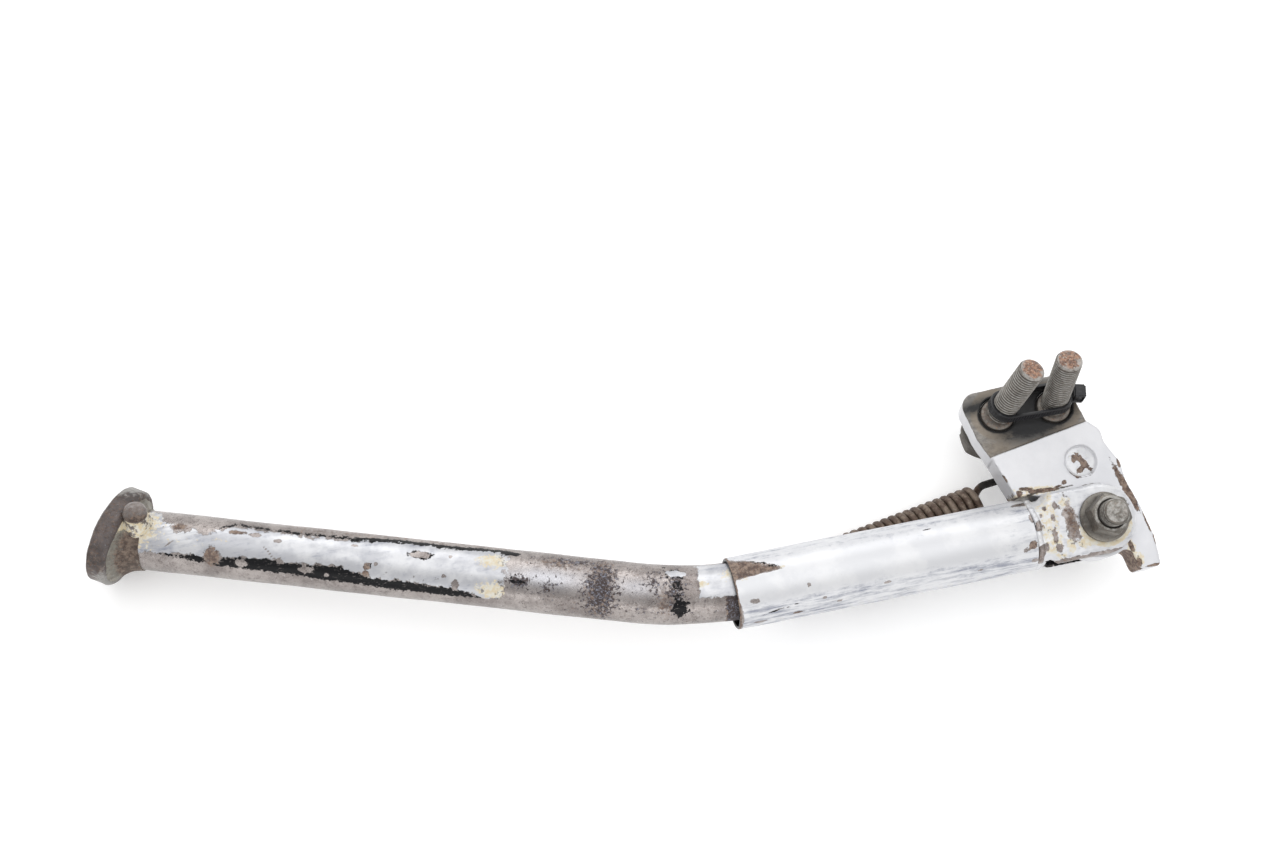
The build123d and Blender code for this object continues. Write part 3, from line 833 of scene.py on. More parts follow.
def leg_fields(s, angle):
    """Where the leg's paint is gone, and what shows there, with a painted highlight along the bare bend. arc is
    the distance round from the tube's top.
    """
    to_arc = math.pi / 180 * TUBE_R
    arc = angle * to_arc
    top, low, black_low = [along_line(s, line) * to_arc for line in (PAINT_TOP, PAINT_LOW, BLACK_LOW)]
    cuff = np.minimum(side_of(s, 216, 2.6), np.minimum(side_of(arc, -2.8, 2.2), 1 - side_of(arc, 14, 3)))
    sliver = spot(s, arc, (208, 7.5), (3.4, 1.6))
    chip = spots(s, arc, *LEG_CHIPS)
    bare = most(side_of(arc, top, 3.2), 1 - side_of(arc, low, 2.2), side_of(s, PAINT_END, 8))
    bare = most(np.minimum(bare, 1 - most(cuff, sliver)), chip, spots(s, arc, *LEG_SCRATCHES),
                0.34 * between(s, 84, 146, 8) * side_of(-arc, 2.0, 2.0),
                0.36 * (1 - side_of(s, 40, 10)) * side_of(arc, 2, 2))
    band = np.minimum(side_of(arc, black_low + 0.6, 2.0), 1 - side_of(arc, low, 3.0)) * between(s, 14, 146, 3)
    rim = between(arc, top - 1.5, top + 2.0, 1.0) * between(s, 86, 150, 5)
    strip = between(arc, top - 0.5, top + 3.2, 1.4) * between(s, 30, 152, 12) * 0.53
    black = most(band, rim, strip, spots(s, arc, *LEG_BLACK))
    black = np.where(chip > 0.62, black * 0.2, most(black, spots(s, arc, *LEG_HALOES)))
    pitted = most(spots(s, arc, *LEG_PITS), side_of(s, 225.5, 1.5) * 0.9, 0.30 * side_of(s, 146, 6))
    rust = most(spots(s, arc, *LEG_RUST), side_of(s, 225.5, 0.8), 0.30 * side_of(s, 150, 10),
                0.40 * side_of(arc, top, 3) * between(s, 60, 150, 6))
    # Painted highlight: a bright band along the middle of the bare bend, where the tube faces the camera.
    highlight_span = side_of(s, HIGHLIGHT_BEND[0], 6) * (1 - side_of(s, HIGHLIGHT_BEND[1], 8))
    shiny = np.exp(-((arc - 0.5) / 3.4) ** 2) * highlight_span
    shiny = most(shiny * (1 - spot(s, arc, (181, -2), (8, 16))), spot(s, arc, (155, 0.3), (9, 1.6)))
    scuff = most(0.36, 0.62 * (1 - side_of(s, 42, 14)), 0.55 * side_of(arc, top - 4, 4))
    return {"bare": bare, "black": np.minimum(black, 1 - spots(s, arc, *LEG_CLEAN)), "rust": rust,
            "cream": spots(s, arc, *LEG_CREAM), "scuff": scuff, "specks": 0.8, "pitted": pitted,
            "shiny": shiny}


def build_leg(paint):
    solid, s, angle = leg_tube_solid()
    add_piece("leg_tube_skin", solid, "leg", paint, ["leg_tube"],
              leg_fields(s, angle), dents=((18.0, 0.18, 1), (4.0, 0.035, 2)))


# ---------------------------------------------------------------- sleeve, fork and weld

SLEEVE_CHIPS = (
    (-135.4, -5.4, 1.9, 1.0), (-115, -3.4, 0.7, 0.9), (-86, -8.2, 1.5, 0.6), (-37, -2.6, 0.9, 0.4),
    (-32.2, -6.6, 1.1, 0.8), (-29.3, -5.4, 1.7, 1.6), (-120, -14.4, 2.2, 0.7), (-134.3, -16, 2.6, 0.7),
    (-28.9, 12.7, 3.2, 1.0), (-110, -9.5, 1.2, 0.5), (-104, -12.5, 1.3, 0.6), (-50, -11.3, 1.0, 0.5),
    (-26.6, 8.7, 0.8, 1.6), (-27.5, 5.0, 0.8, 1.8), (-28.6, -11.8, 1.6, 0.9))
SLEEVE_SCRATCHES = ((-128.7, -11.2, 4.4, 0.35, 1, 12), (-66.5, 9.2, 2.4, 0.3, 1, 8),
                    (-122, -10.2, 3.2, 0.25, 1, 12))
SLEEVE_HALOES = ((-131, 10.0, 5.5, 1.8, 0.72, -25), (-126, 6.6, 4.0, 0.9, 0.62, -12))
SLEEVE_RUST = ((-29.3, -5.4, 2, 2), (-120, -14.4, 2, 1), (-30, 6, 6, 12, 0.4))
SLEEVE_CREAM = ((-124, 5.2, 3.0, 0.7, 0.8), (-24, 11.5, 4, 3, 0.8), (-137.5, 3.4, 3.0, 0.6, 0.7))


def build_sleeve(paint):
    around = 112
    lip = 0.35
    bore_r = SLEEVE_R - SLEEVE_WALL
    profile = [(x, SLEEVE_R) for x in np.arange(SLEEVE_FROM + lip, SLEEVE_TO, 0.8)]
    profile += [(x, bore_r) for x in np.arange(SLEEVE_TO, SLEEVE_FROM + lip, -4.0)]
    profile += [(SLEEVE_FROM + lip, bore_r), (SLEEVE_FROM, bore_r + lip), (SLEEVE_FROM, SLEEVE_R - lip)]
    rings = []
    for x, radius in profile:
        bell = 0.10 * math.exp(-((x - SLEEVE_FROM) / 5) ** 2)
        rings.append(ring_on_x(x, radius - bell, round_angles(around)))
    points, faces = skin(rings, closed=True)
    x = points[:, 0]
    arc = np.arctan2(points[:, 1], points[:, 2]) * SLEEVE_R
    outside = np.repeat([radius for _, radius in profile], around) > SLEEVE_R - 0.1
    wedge = np.minimum(side_of(arc, 3.6 + (x + 141) * 0.06, 0.7), 1 - side_of(x, -121.5, 0.8))
    wedge = np.minimum(wedge, 1 - side_of(arc, 14.5 - (x + 142) * 0.48, 2.2))
    scratch = spots(x, arc, *SLEEVE_SCRATCHES)
    low_rim = np.minimum(1 - side_of(x, -140.2, 0.6), 1 - side_of(arc, -6.0, 2.0)) * 0.75
    foot_rim = (1 - side_of(x, -141.2, 0.3)) * 0.9
    bare = most(wedge, spots(x, arc, *SLEEVE_CHIPS), scratch, low_rim, foot_rim)
    fields = {"bare": np.where(outside, bare, 1.0),
              "black": most(spots(x, arc, *SLEEVE_HALOES) * outside, scratch, 0.9 * ~outside),
              "rust": most(wedge * 0.80, 1 - side_of(x, -141.0, 0.3), spots(x, arc, *SLEEVE_RUST),
                           0.6 * ~outside),
              "cream": spots(x, arc, *SLEEVE_CREAM),
              "scuff": most(between(arc, -22, -6.5 - (x + 142) * 0.01, 3.0) * 0.85,
                            side_of(arc, 8.0, 5) * 0.50, side_of(np.abs(arc), 17, 3) * 0.7,
                            side_of(x, -40, 8) * 0.55),
              "specks": 0.6 + 0.4 * side_of(x, -45, 15)}
    add_piece("upper_sleeve_skin", (points, faces), "leg", paint, ["upper_sleeve"],
              fields, dents=((26.0, 0.12, 3), (7.0, 0.05, 24), (3.5, 0.03, 4)))


def build_weld(paint):
    """A ring of overlapping runs between the sleeve and the fork."""
    angles = round_angles(220)
    middle = (NECK_X + SLEEVE_TO) / 2
    ripple = 1 + 0.16 * np.sin(angles * 30) + 0.10 * np.sin(angles * 11 + 1.3)
    rings = []
    for t in round_angles(12):
        place = middle + 1.25 * math.cos(t) + 0.25 * np.sin(angles * 7)
        rings.append(ring_on_x(place, NECK_R - 0.55 + 0.92 * math.sin(t) * ripple, angles))
    points, faces = skin(rings, closed=True)
    arc = np.arctan2(points[:, 1], points[:, 2]) * SLEEVE_R
    chips = spots(arc, points[:, 0], (1.2, -25, 2.0, 2.4), (-7.3, -24.8, 2.2, 2.4), (-11.8, -26, 3, 3))
    fields = {"bare": most(chips, 0.30), "black": 0.2, "rust": 0.45, "cream": 0.30, "scuff": 0.3,
              "specks": 1.0}
    add_piece("fork_weld_bead", (points, faces), "leg", paint, ["fork_weld"], fields,
              dents=((2.0, 0.12, 5),))


FORK_CHIPS = (
    (-24.5, 1.0, 1.6, 1.6), (-19.2, 3.4, 1.0, 1.4), (-19.6, -3.0, 1.5, 3.2), (-24.6, -7.0, 1.9, 1.8),
    (-19.2, -8.0, 1.6, 1.8), (-17.6, 8.0, 0.9, 2.2), (-21.5, 7.0, 0.8, 1.4), (-23.5, 5.0, 0.7, 1.0))
FORK_CREAM = ((-14.6, -8.0, 1.6, 2.6), (-9.2, -7.8, 2.6, 2.0), (-13.6, 8.2, 2.2, 2.0, 0.9))


def build_fork(paint):
    points, faces = forged("pivot_fork", 0.42, 4)
    x, y, z = points.T
    front = z > 9.5
    upper = z > 4
    radius = np.hypot(x, y)
    collar = np.minimum(side_of(radius, FLANGE_R - 0.4, 0.4), 1 - side_of(radius, FLANGE_R + 1.6, 0.8))
    by_flange = spot(x, y, (-12.4, 0.8), (3.0, 9.0), 4) * front * 0.92
    chip = most(spots(x, y, *FORK_CHIPS) * upper * 0.82, between(x, -23, -15.5, 2) * 0.36 * upper,
                spot(x, y, (-15.3, 0), (0.8, 11), 3) * 0.5 * front)
    bottom = np.minimum(side_of(-y, 11.8, 0.8), side_of(x, -24, 2)) * (z > 0) * 0.62
    inside = (np.abs(z) < SLOT_HALF + 0.25) & (x > -24)
    bare = most(by_flange, chip, bottom, 0.3 * (x < -15), 0.9 * inside, (collar > 0.2) * front * 0.35)
    bare = np.where(np.abs(z) > 9.5, bare, most(bare, 0.18))
    crust = collar * front * side_of(-y, 2.5, 3) * side_of(x, -13, 2)
    cream = most(np.minimum(crust * 1.35, 1), between(x, -25, -16.5, 1.5) * front * 0.52,
                 spots(x, y, *FORK_CREAM) * front, 0.3 * (x < -14))
    fields = {"bare": bare * (1 - 0.75 * (crust > 0.4)), "black": np.where(inside, 0.6, 0.12),
              "rust": most(0.42, by_flange * 0.75), "cream": cream, "scuff": 0.35,
              "specks": np.where(x < -14, 1.0, 0.7)}
    add_piece("pivot_fork_forging", (points, faces), "leg", paint, ["pivot_fork"],
              fields, dents=((5.0, 0.16, 6), (2.2, 0.13, 27), (1.1, 0.05, 7)))


# ---------------------------------------------------------------- pivot

def build_pivot(steel, smooth_steel):
    """The bolt that the leg turns on, its nut, and the bush in the bracket."""
    head = placed(flanged_hex(PIVOT_HEAD_FLATS, PIVOT_HEAD_T, FLANGE_R + 1.2, 0.0),
                  frame_at((0, 0, -EAR_OUT), (0, 0, -1)))
    shoulder = turned(eased([(SHOULDER_R, -EAR_OUT), (SHOULDER_R, SLOT_HALF - 0.4)], 0.3), 64)
    bolt = joined(head, shoulder, threaded(SLOT_HALF - 0.8, PIVOT_TIP, 1.0))
    x, y, z = bolt[0].T
    worn_end = between(z, PIVOT_TIP - 0.9, PIVOT_TIP + 1.0, 0.3)
    # Painted shade in the thread's roots and where the bolt leaves the nut, and a painted highlight on the
    # thread's crests.
    roots = np.where(z > SLOT_HALF, groove(z, np.arctan2(y, x)), 0.0) * (1 - worn_end)
    crest_highlight = side_of(z, EAR_OUT, 0.2) * (1 - roots) * (1 - side_of(z, PIVOT_TIP - 0.5, 0.2)) * 0.50
    nut_top = EAR_OUT + NUT_HEIGHT
    fields = {"rust": 0.30, "pale": most(side_of(z, PIVOT_TIP - 0.3, 0.3) * 0.50, crest_highlight),
              "dirt": most(roots * 0.95, near(z, nut_top, 0.8) * 0.8), "orange": worn_end * 0.30}
    add_piece("pivot_bolt_steel", bolt, "leg", steel, ["pivot_bolt"], fields, sharp=30)
    corner = (math.cos(NUT_TURN), math.sin(NUT_TURN), 0)
    nut = placed(flanged_hex(NUT_FLATS, NUT_HEIGHT, FLANGE_R, THREAD_R + 0.05),
                 frame_at((0, 0, EAR_OUT), (0, 0, 1), corner))
    x, y, z = nut[0].T
    radius = np.hypot(x, y)
    crown = np.minimum(side_of(z, nut_top - 0.4, 0.2), side_of(radius, 4.8, 0.3))
    # Dirt, and painted shade in the crease above the flange, under the nut and in its bore.
    dirt = most(near(z, EAR_OUT + FLANGE_T + 0.6, 0.9) * 0.75, 0.9 * (z < EAR_OUT + 0.5),
                0.9 * (radius < 5.6))
    fields = {"rust": most(0.30, 0.4 * (1 - side_of(z, EAR_OUT + 1.0, 0.5))), "pale": crown * 0.50,
              "dirt": dirt}
    add_piece("pivot_nut_steel", nut, "leg", steel, ["pivot_nut"], fields,
              dents=((4.0, 0.05, 8),), sharp=30)
    face, bore_r = PLATE_T / 2, SHOULDER_R + 0.05
    ring = eased([(BUSH_R, -face), (BUSH_R, face), (bore_r, face), (bore_r, -face)], 0.25, closed=True)
    add_piece("pivot_bush_steel", turned(ring, 72, closed=True), "bracket", smooth_steel,
              ["pivot_bush"], {"rust": 0.1})


# ---------------------------------------------------------------- foot

FOOT_PLACE = frame_at(FOOT_CENTRE, FOOT_OUT, np.cross(FOOT_OUT, (0, 0, 1)))


def build_foot(steel):
    rim_r = FOOT_R - 0.12
    dome_r = (FOOT_R ** 2 + FOOT_DOME ** 2) / (2 * FOOT_DOME)
    corners = [(1.0, -FOOT_BACK), (rim_r - 1.0, -FOOT_BACK), (rim_r, 1.0 - FOOT_BACK),
               (rim_r, FOOT_RIM_T - 0.2)]
    back = refined(eased(corners, 0.9), 0.8)
    radii = np.append(np.arange(FOOT_R - 1.0, 1.0, -0.8), 0.6)
    heights = FOOT_RIM_T + FOOT_DOME - dome_r + np.sqrt(dome_r ** 2 - radii ** 2) - 0.05
    foot = placed(turned(np.vstack([back, np.stack([radii, heights], 1)]), 144), FOOT_PLACE)
    x, y, z = foot[0].T
    # pale along the foot's top rim is a painted highlight, and along its bottom rim a painted reflection of the
    # floor.
    fields = {"rust": 0.42 + 0.12 * bumps(foot[0], 9.0, 9), "dirt": 0.25 + 0.2 * bumps(foot[0], 6.0, 29),
              "pale": most(side_of(y, 79, 4) * 0.66, side_of(-y, -55, 4) * 0.68),
              "cream": spot(x, y, (-359, 73), (2.2, 6)) * 0.56 * (z > 0)}
    add_piece("foot_plate_steel", foot, "leg", steel, ["foot_plate"], fields,
              dents=((9.0, 0.35, 10), (3.0, 0.14, 11), (1.2, 0.05, 12)))


def build_flare(steel):
    """The weld between the tube and the foot."""
    around = 160
    collar = frame_at(FOOT_CENTRE - OUT * FLARE_LENGTH, OUT, np.cross(OUT, (0, 0, 1)))
    wide = moved(circle(FLARE_R, around) + (0, 0, 0.3 - FOOT_BACK), FOOT_PLACE)
    narrow = moved(circle(TUBE_R + 0.4, around), collar)
    rings = []
    for t in np.linspace(0, 1, 14):
        inwards = FOOT_CENTRE - OUT * t * FLARE_LENGTH - wide
        rings.append(wide + (narrow - wide) * t + inwards * 0.10 * math.sin(math.pi * t))
    rings.append(moved(circle(TUBE_R - 0.8, around) + (0, 0, -0.3), collar))
    flare = skin(rings)
    x, y, z = flare[0].T
    near_peg = spots(x, y, (-356.5, 75, 4.0, 6), (-347, 64.5, 5, 3, 0.9), (-354, 68.5, 6, 3.0))
    patch = spots(x, y, (-353.5, 61.0, 4.4, 4.6), (-358.0, 55, 3.4, 5.0))
    fields = {"rust": most(0.34, patch * 1.4), "pale": 0.62 * side_of(y, 80, 3), "dirt": patch * 0.5,
              "cream": np.where(z > -20, near_peg * 0.95, 0.3) * (1 - patch)}
    add_piece("foot_weld_flare", flare, "leg", steel, ["foot_weld"], fields,
              dents=((6.0, 0.35, 23), (2.4, 0.16, 13)))


def build_kick_peg(steel):
    length = np.linalg.norm(PEG_TIP_RISE)
    side = [(PEG_FLARE_R, PEG_FLARE_FROM), (PEG_R + 0.8, PEG_FLARE_TO - 2.5), (PEG_R, PEG_FLARE_TO + 1.0),
            (PEG_R, length - 0.1)]
    body = refined(eased(side, 1.5), 0.7)
    dome = [(PEG_R * math.cos(a), length + PEG_DOME * math.sin(a)) for a in np.radians(np.arange(0, 86, 8))]
    peg = turned(np.vstack([body, dome, [(0.25, length + PEG_DOME)]]), 72)
    height = peg[0][:, 2]
    peg = placed(peg, frame_at(FOOT_CENTRE - OUT * PEG_BACK, PEG_TIP_RISE))
    skirt = 1 - side_of(height, length - 0.4, 0.6)
    # The dome's lower edge: rust, and painted shade where the dome turns down away from the light.
    shaded_low_edge = np.minimum(side_of(height, length - 0.2, 0.4), side_of(-peg[0][:, 1], -70.5, 2.0))
    fields = {"rust": most(0.36, shaded_low_edge * 0.9), "dirt": shaded_low_edge * 0.45,
              "cream": np.minimum(skirt * 1.1, 1) * (0.58 + 0.35 * bumps(peg[0], 2.5, 14))}
    add_piece("kick_peg_steel", peg, "leg", steel, ["kick_peg"], fields,
              dents=((3.0, 0.25, 15), (1.2, 0.08, 16)))


# ---------------------------------------------------------------- bracket

def pad_wear(u, v, w):
    """The pad's grease, the rings its washers left, its soot, and painted shade at the rims and on the walls of
    its holes, in the pad's frame.
    """
    face = np.abs(w) < 0.35
    from_holes = [np.hypot(u - hole[0], v - hole[1]) for hole in PAD_HOLES]
    hole = np.minimum(*from_holes)
    step = (v > 1.5) & (w < -0.3) & (w > -1.2)
    grime = most(face * side_of(v, 0.15, 0.25), 0.42 * step, 1.0 * ((hole < 7.4) & (v > 1)))
    ring = most(*[np.minimum(side_of(h, 7.6, 0.5), 1 - side_of(h, 10.6, 0.8)) for h in from_holes])
    ring = most(ring, spot(u, v, (5, 3), (7, 4)) * 0.8, between(v, 0.0, 1.6, 0.8) * 0.6)
    # The dark ring right round each hole and the blackened hole walls are painted shade. The wider patches are
    # soot.
    soot = most(np.clip(1.0 - (hole - 7.0) / 1.6, 0, 1) * 0.85,
                spots(u, v, (23, 8, 12, 5.5), (24, 15, 9, 6), (3.5, 21, 10, 3.0, 0.6)))
    return {"grime": grime, "ring": ring, "soot": np.where(face, soot, hole < 7.2)}


# The bracket's chips, by the lowest z that they reach.
BRACKET_CHIPS = {
    -20.0: ((-24.5, 16.6, 2.6, 0.6, 1, -8), (19.8, -11.2, 0.7, 2.4, 1, 5), (-27.6, 15.2, 1.2, 1.2),
            (13.2, 19.5, 0.6, 1.8)),
    1.5: ((13.7, 9.2, 9.6, 1.25, 1.1, -75),),
    2.0: ((9.9, -12.0, 0.9, 2.6, 1, 10),),
    3.0: ((18.2, -4.0, 0.6, 4.0, 1, 8),),
    4.0: ((-0.6, 22.2, 5.2, 1.5, 1, -62), (-2.5, 18.0, 2.2, 0.9, 1, 20), (-12.0, 15.2, 1.6, 0.5, 1, 10),
          (-9.5, 16.2, 0.9, 0.9), (11.6, -18.6, 1.0, 2.0), (17.0, -20.8, 3.0, 0.5),
          (-18, 14.8, 6.0, 0.8, 1, -4)),
    5.0: ((-31.5, 22, 0.4, 1.6, 1, 22),)}


def build_bracket(paint):
    points, faces = forged("mount_bracket", 0.38, 3)
    x, y, z = points.T
    front = z > 4.0
    chips = most(*[spots(x, y, *rows) * (z > lowest) for lowest, rows in BRACKET_CHIPS.items()])
    hook_inside = ((y < -9) & (x < 12.2) & (x > 6) & (z < 5.4)) * 0.9
    left_wall = spot(x, y, (-28.0, 15.5), (1.6, 2.0)) * 0.8 * (z < 5)
    recess = np.hypot(x - POST[0], y - POST[1])
    # Painted shade: a dark ring on the lower left of the rivet's recess, drawn as bare steel.
    rim = near(recess, 6.1, 0.8) * front * spot(x, y, (-3.5, 19), (5, 4)) * 0.8
    cream = most(spots(x, y, (-20, 15.6, 8, 1.2, 0.95, -6), (9.8, -15, 1.8, 6, 0.9)),
                 spot(x, y, (11.8, -17.5), (2.0, 3.0)) * front * 0.9,
                 0.72 * between(y, 13.4, 15.2, 0.8) * (x < -12))
    # Painted shadow: a dark line round the leg's ear where it lies on the bracket, and one along the plate's lower
    # edge above the sleeve.
    ear_edge_shadow = between(np.hypot(x, y), EAR_R - 0.8, EAR_R + 0.9, 0.3) * side_of(y, 2, 2) * 0.56
    pad_edge_shadow = between(y - 0.02 * x, 14.2, 15.2, 0.4) * (x < -6) * (x > -25) * 0.60
    fields = {"dirt": most(ear_edge_shadow, pad_edge_shadow) * front, "cream": cream,
              "bare": most(chips, hook_inside, rim, (z < -4) * 0.22, left_wall)}
    fields.update(pad_wear(*moved(points, PAD_INVERSE).T))
    add_piece("mount_bracket_forging", (points, faces), "bracket", paint, ["mount_bracket"],
              fields, dents=((14.0, 0.22, 17), (3.0, 0.05, 18)))


def spring_pin(root, place, neck_r, head_r, around):
    """A pin for a spring's eye: its root's profile, a neck and a head."""
    tip = POST_TIP_Z + 0.30
    profile = root + [(neck_r, NECK_TOP - 0.3), (neck_r, NECK_TOP - 3.5), (head_r, NECK_TOP - 3.8),
                      (head_r, tip + 1.2), (head_r - 1.2, tip), (1.0, tip)]
    return placed(turned(refined(eased(profile, 0.3), 1.2), around), frame_at((*place, 0)))


def build_posts(steel, paint):
    """The spring's two pins: one riveted in the bracket, one welded on the sleeve."""
    face = PLATE_T / 2
    rivet = [(0.4, face - 0.35), (3.0, face - 0.40), (5.2, face - 0.7), (5.9, face - 1.0), (4.0, face - 1.05),
             (4.0, -face - 0.05), (5.5, -face - 0.05), (5.5, -face - 2.0), (4.0, -face - 2.2),
             (4.0, NECK_TOP)]
    post = spring_pin(rivet, POST, POST_R, POST_HEAD_R, 64)
    x, y, z = post[0].T
    top = z > face - 1.4
    slash = spots(x, y, (-0.2, 22.6, 4.6, 1.3, 1, -58), (-2.0, 19.6, 1.8, 1.0, 1, 20),
                  (-3.4, 24.5, 0.9, 1.6, 0.9))
    fields = {"bare": np.where(top, slash, 1.0), "rust": np.where(top, 0.85, 0.45),
              "black": np.where(top, 0.25, 0.2), "cream": 0.30 * top, "scuff": 0.35, "specks": 1.0}
    add_piece("bracket_spring_post_steel", post, "bracket", paint, ["bracket_spring_post"],
              fields, dents=((2.6, 0.20, 19), (1.2, 0.08, 39)))
    root = [(1.0, LEG_PEG_ROOT), (4.4, LEG_PEG_ROOT), (4.4, NECK_TOP)]
    peg = spring_pin(root, LEG_PEG, LEG_PEG_R, LEG_PEG_HEAD_R, 56)
    add_piece("leg_spring_peg_steel", peg, "leg", steel, ["leg_spring_peg"], {"rust": 0.45},
              dents=((2.0, 0.08, 20),))


def bolt_frame(side):
    """A mounting bolt's frame: origin under its head, Z towards its tip."""
    mount = MOUNTS["mounting_thread_" + side]
    axis = unit(PIVOT_INVERSE[:3, :3] @ np.array(mount["axis"]))
    middle = from_row(np.array([mount["pos_m"]]))[0]
    tip = middle + axis * (mount["dims"]["length_mm"] / 2 + TIP_PAST_MOUNT)
    return frame_at(tip - axis * BOLT_LENGTH, axis)


BOLT_FRAMES = {side: bolt_frame(side) for side in ("left", "right")}


def spacer_solid(hole):
    """A spacer in the mouth of a hole of the pad, with a wider step that is hidden in the hole."""
    ring = [(4.2, -SPACER_IN), (SPACER_STEP_R, -SPACER_IN), (SPACER_STEP_R, -SPACER_IN + 0.4),
            (SPACER_R, -SPACER_IN + 0.6), (SPACER_R, SPACER_OUT - 0.4), (SPACER_R - 1.0, SPACER_OUT),
            (1.0, SPACER_OUT - 0.1)]
    points, faces = turned(refined(eased(ring, 0.15), 0.6), 72)
    return moved(points + (*hole, 0), PAD_FRAME), faces


def build_mounting_bolt(side, hole, steel):
    """A loose bolt, with its spacer in the mouth of the pad's hole."""
    place = BOLT_FRAMES[side]
    head = placed(flanged_hex(NUT_FLATS, BOLT_HEAD_T, BOLT_FLANGE_R, 0.0), frame_at((0, 0, 0), (0, 0, -1)))
    shank = turned([(SHANK_R, 0.0), (SHANK_R, THREAD_FROM + 0.5)], 48)
    bolt = placed(joined(head, shank, threaded(THREAD_FROM, BOLT_LENGTH, 0.95)), place)
    on_bolt = len(bolt[0])
    bolt = joined(bolt, spacer_solid(hole))
    x, y, height = moved(bolt[0], np.linalg.inv(place)).T
    is_bolt = np.arange(len(x)) < on_bolt
    face = side_of(height, BOLT_LENGTH - 0.5, 0.4) * is_bolt
    rim = np.minimum(side_of(height, BOLT_LENGTH - 1.1, 0.3), side_of(np.hypot(x, y), 3.8, 0.4))
    # Painted shade in the thread's roots and a painted highlight on its crests.
    roots = np.where(is_bolt & (height > THREAD_FROM), groove(height, np.arctan2(y, x)), 0.0)
    roots = roots * (1 - side_of(height, BOLT_LENGTH - 0.8, 0.3))
    crest_highlight = np.where(is_bolt & (height > THREAD_FROM + 0.5), 1 - roots, 0.0) * 0.52
    crest_highlight = crest_highlight * (1 - side_of(height, BOLT_LENGTH - 1.2, 0.2))
    u, v, _ = moved(bolt[0], PAD_INVERSE).T
    # Painted shade on the spacer's step down in the hole.
    gap_shade = side_of(np.hypot(u - hole[0], v - hole[1]), 6.25, 0.15) * ~is_bolt
    # A little real dirt on the spacer, and painted shade on the bolt below the pad.
    fields = {"rust": np.where(is_bolt, most(0.30, side_of(height, BOLT_LENGTH - 5, 4) * 0.42), 0.46),
              "pale": rim * 0.55 + spot(x, y, (1.5, -1.5), (1.6, 1.0)) * face * 0.7 + crest_highlight,
              "orange": face * 0.66,
              "dirt": most(roots * 0.96, 0.12 * ~is_bolt, gap_shade, side_of(-height, -13.5, 1.0) * 0.5 * is_bolt)}
    add_piece("mounting_bolt_%s_steel" % side, bolt, "bracket", steel,
              ["mounting_bolt_" + side], fields, sharp=50)


def tie_centres():
    """Where the bolts' axes pass the strap's middle, and their directions, in the pad's frame."""
    centres, axes = [], []
    for place in BOLT_FRAMES.values():
        start = moved(place[:3, 3][None], PAD_INVERSE)[0]
        axis = PAD_INVERSE[:3, :3] @ place[:3, 2]
        centres.append(start + axis * ((TIE_LOW + TIE_W / 2 - start[2]) / axis[2]))
        axes.append(unit(axis))
    return centres, axes


def tie_stations(centres, axes, line):
    """The strap's way round both bolts: rows of a point, its outward direction and its up."""
    stations = []
    for centre, up, start in ((centres[1], axes[1], -90), (centres[0], axes[0], 90)):
        first = unit(line - np.dot(line, up) * up)
        second = np.cross(up, first)
        for angle in np.radians(np.arange(start, start + 181, 3)):
            out = first * math.cos(angle) + second * math.sin(angle)
            stations.append(np.concatenate([centre + (TIE_BORE + TIE_T / 2) * out, out, up]))
    half = len(stations) // 2
    runs = []
    for a, b in ((stations[half - 1], stations[half]), (stations[-1], stations[0])):
        runs.append([a + (b - a) * t for t in np.linspace(0, 1, 56)[1:-1]])
    return np.array(stations[:half] + runs[0] + stations[half:] + runs[1])


def tie_strap(stations):
    """The band, ribbed on its outside."""
    distance = np.append(0, np.cumsum(np.linalg.norm(np.diff(stations[:, :3], axis=0), axis=1)))
    t, w = TIE_T / 2, TIE_W / 2
    rings = []
    for station, run in zip(stations, distance):
        point, out, up = station[:3], unit(station[3:6]), unit(station[6:])
        rib = t - 0.14 * (run % 1.1 < 0.55)
        section = [(-t, -w), (t, -w), (t, -w + 0.5), (rib, -w + 0.7),
                   (rib, w - 0.7), (t, w - 0.5), (t, w), (-t, w)]
        rings.append([point + out * a + up * b for a, b in eased(section, 0.2, closed=True, steps=2)])
    return skin(rings, closed=True)


def tie_head():
    """The tie's square head, with a mouth at either end of Y."""
    head = bmesh.new()
    bmesh.ops.create_cube(head, size=1.0)
    bmesh.ops.scale(head, vec=TIE_HEAD, verts=head.verts)
    mouths = [face for face in head.faces if abs(face.normal.y) > 0.9]
    bmesh.ops.inset_individual(head, faces=mouths, thickness=1.2)
    for face in mouths:
        for vertex in face.verts:
            vertex.co.y *= 0.72
    outer = []
    for edge in head.edges:
        ends = [vertex.co.y for vertex in edge.verts]
        on_end = edge.calc_length() > 4.0 and all(abs(abs(y) - TIE_HEAD[1] / 2) < 0.01 for y in ends)
        if on_end or abs(ends[0] - ends[1]) > 5:
            outer.append(edge)
    bmesh.ops.bevel(head, geom=outer, offset=0.55, segments=3, affect="EDGES")
    head.verts.ensure_lookup_table()
    points = np.array([vertex.co for vertex in head.verts])
    faces = [tuple(vertex.index for vertex in face.verts) for face in head.faces]
    head.free()
    return points, faces


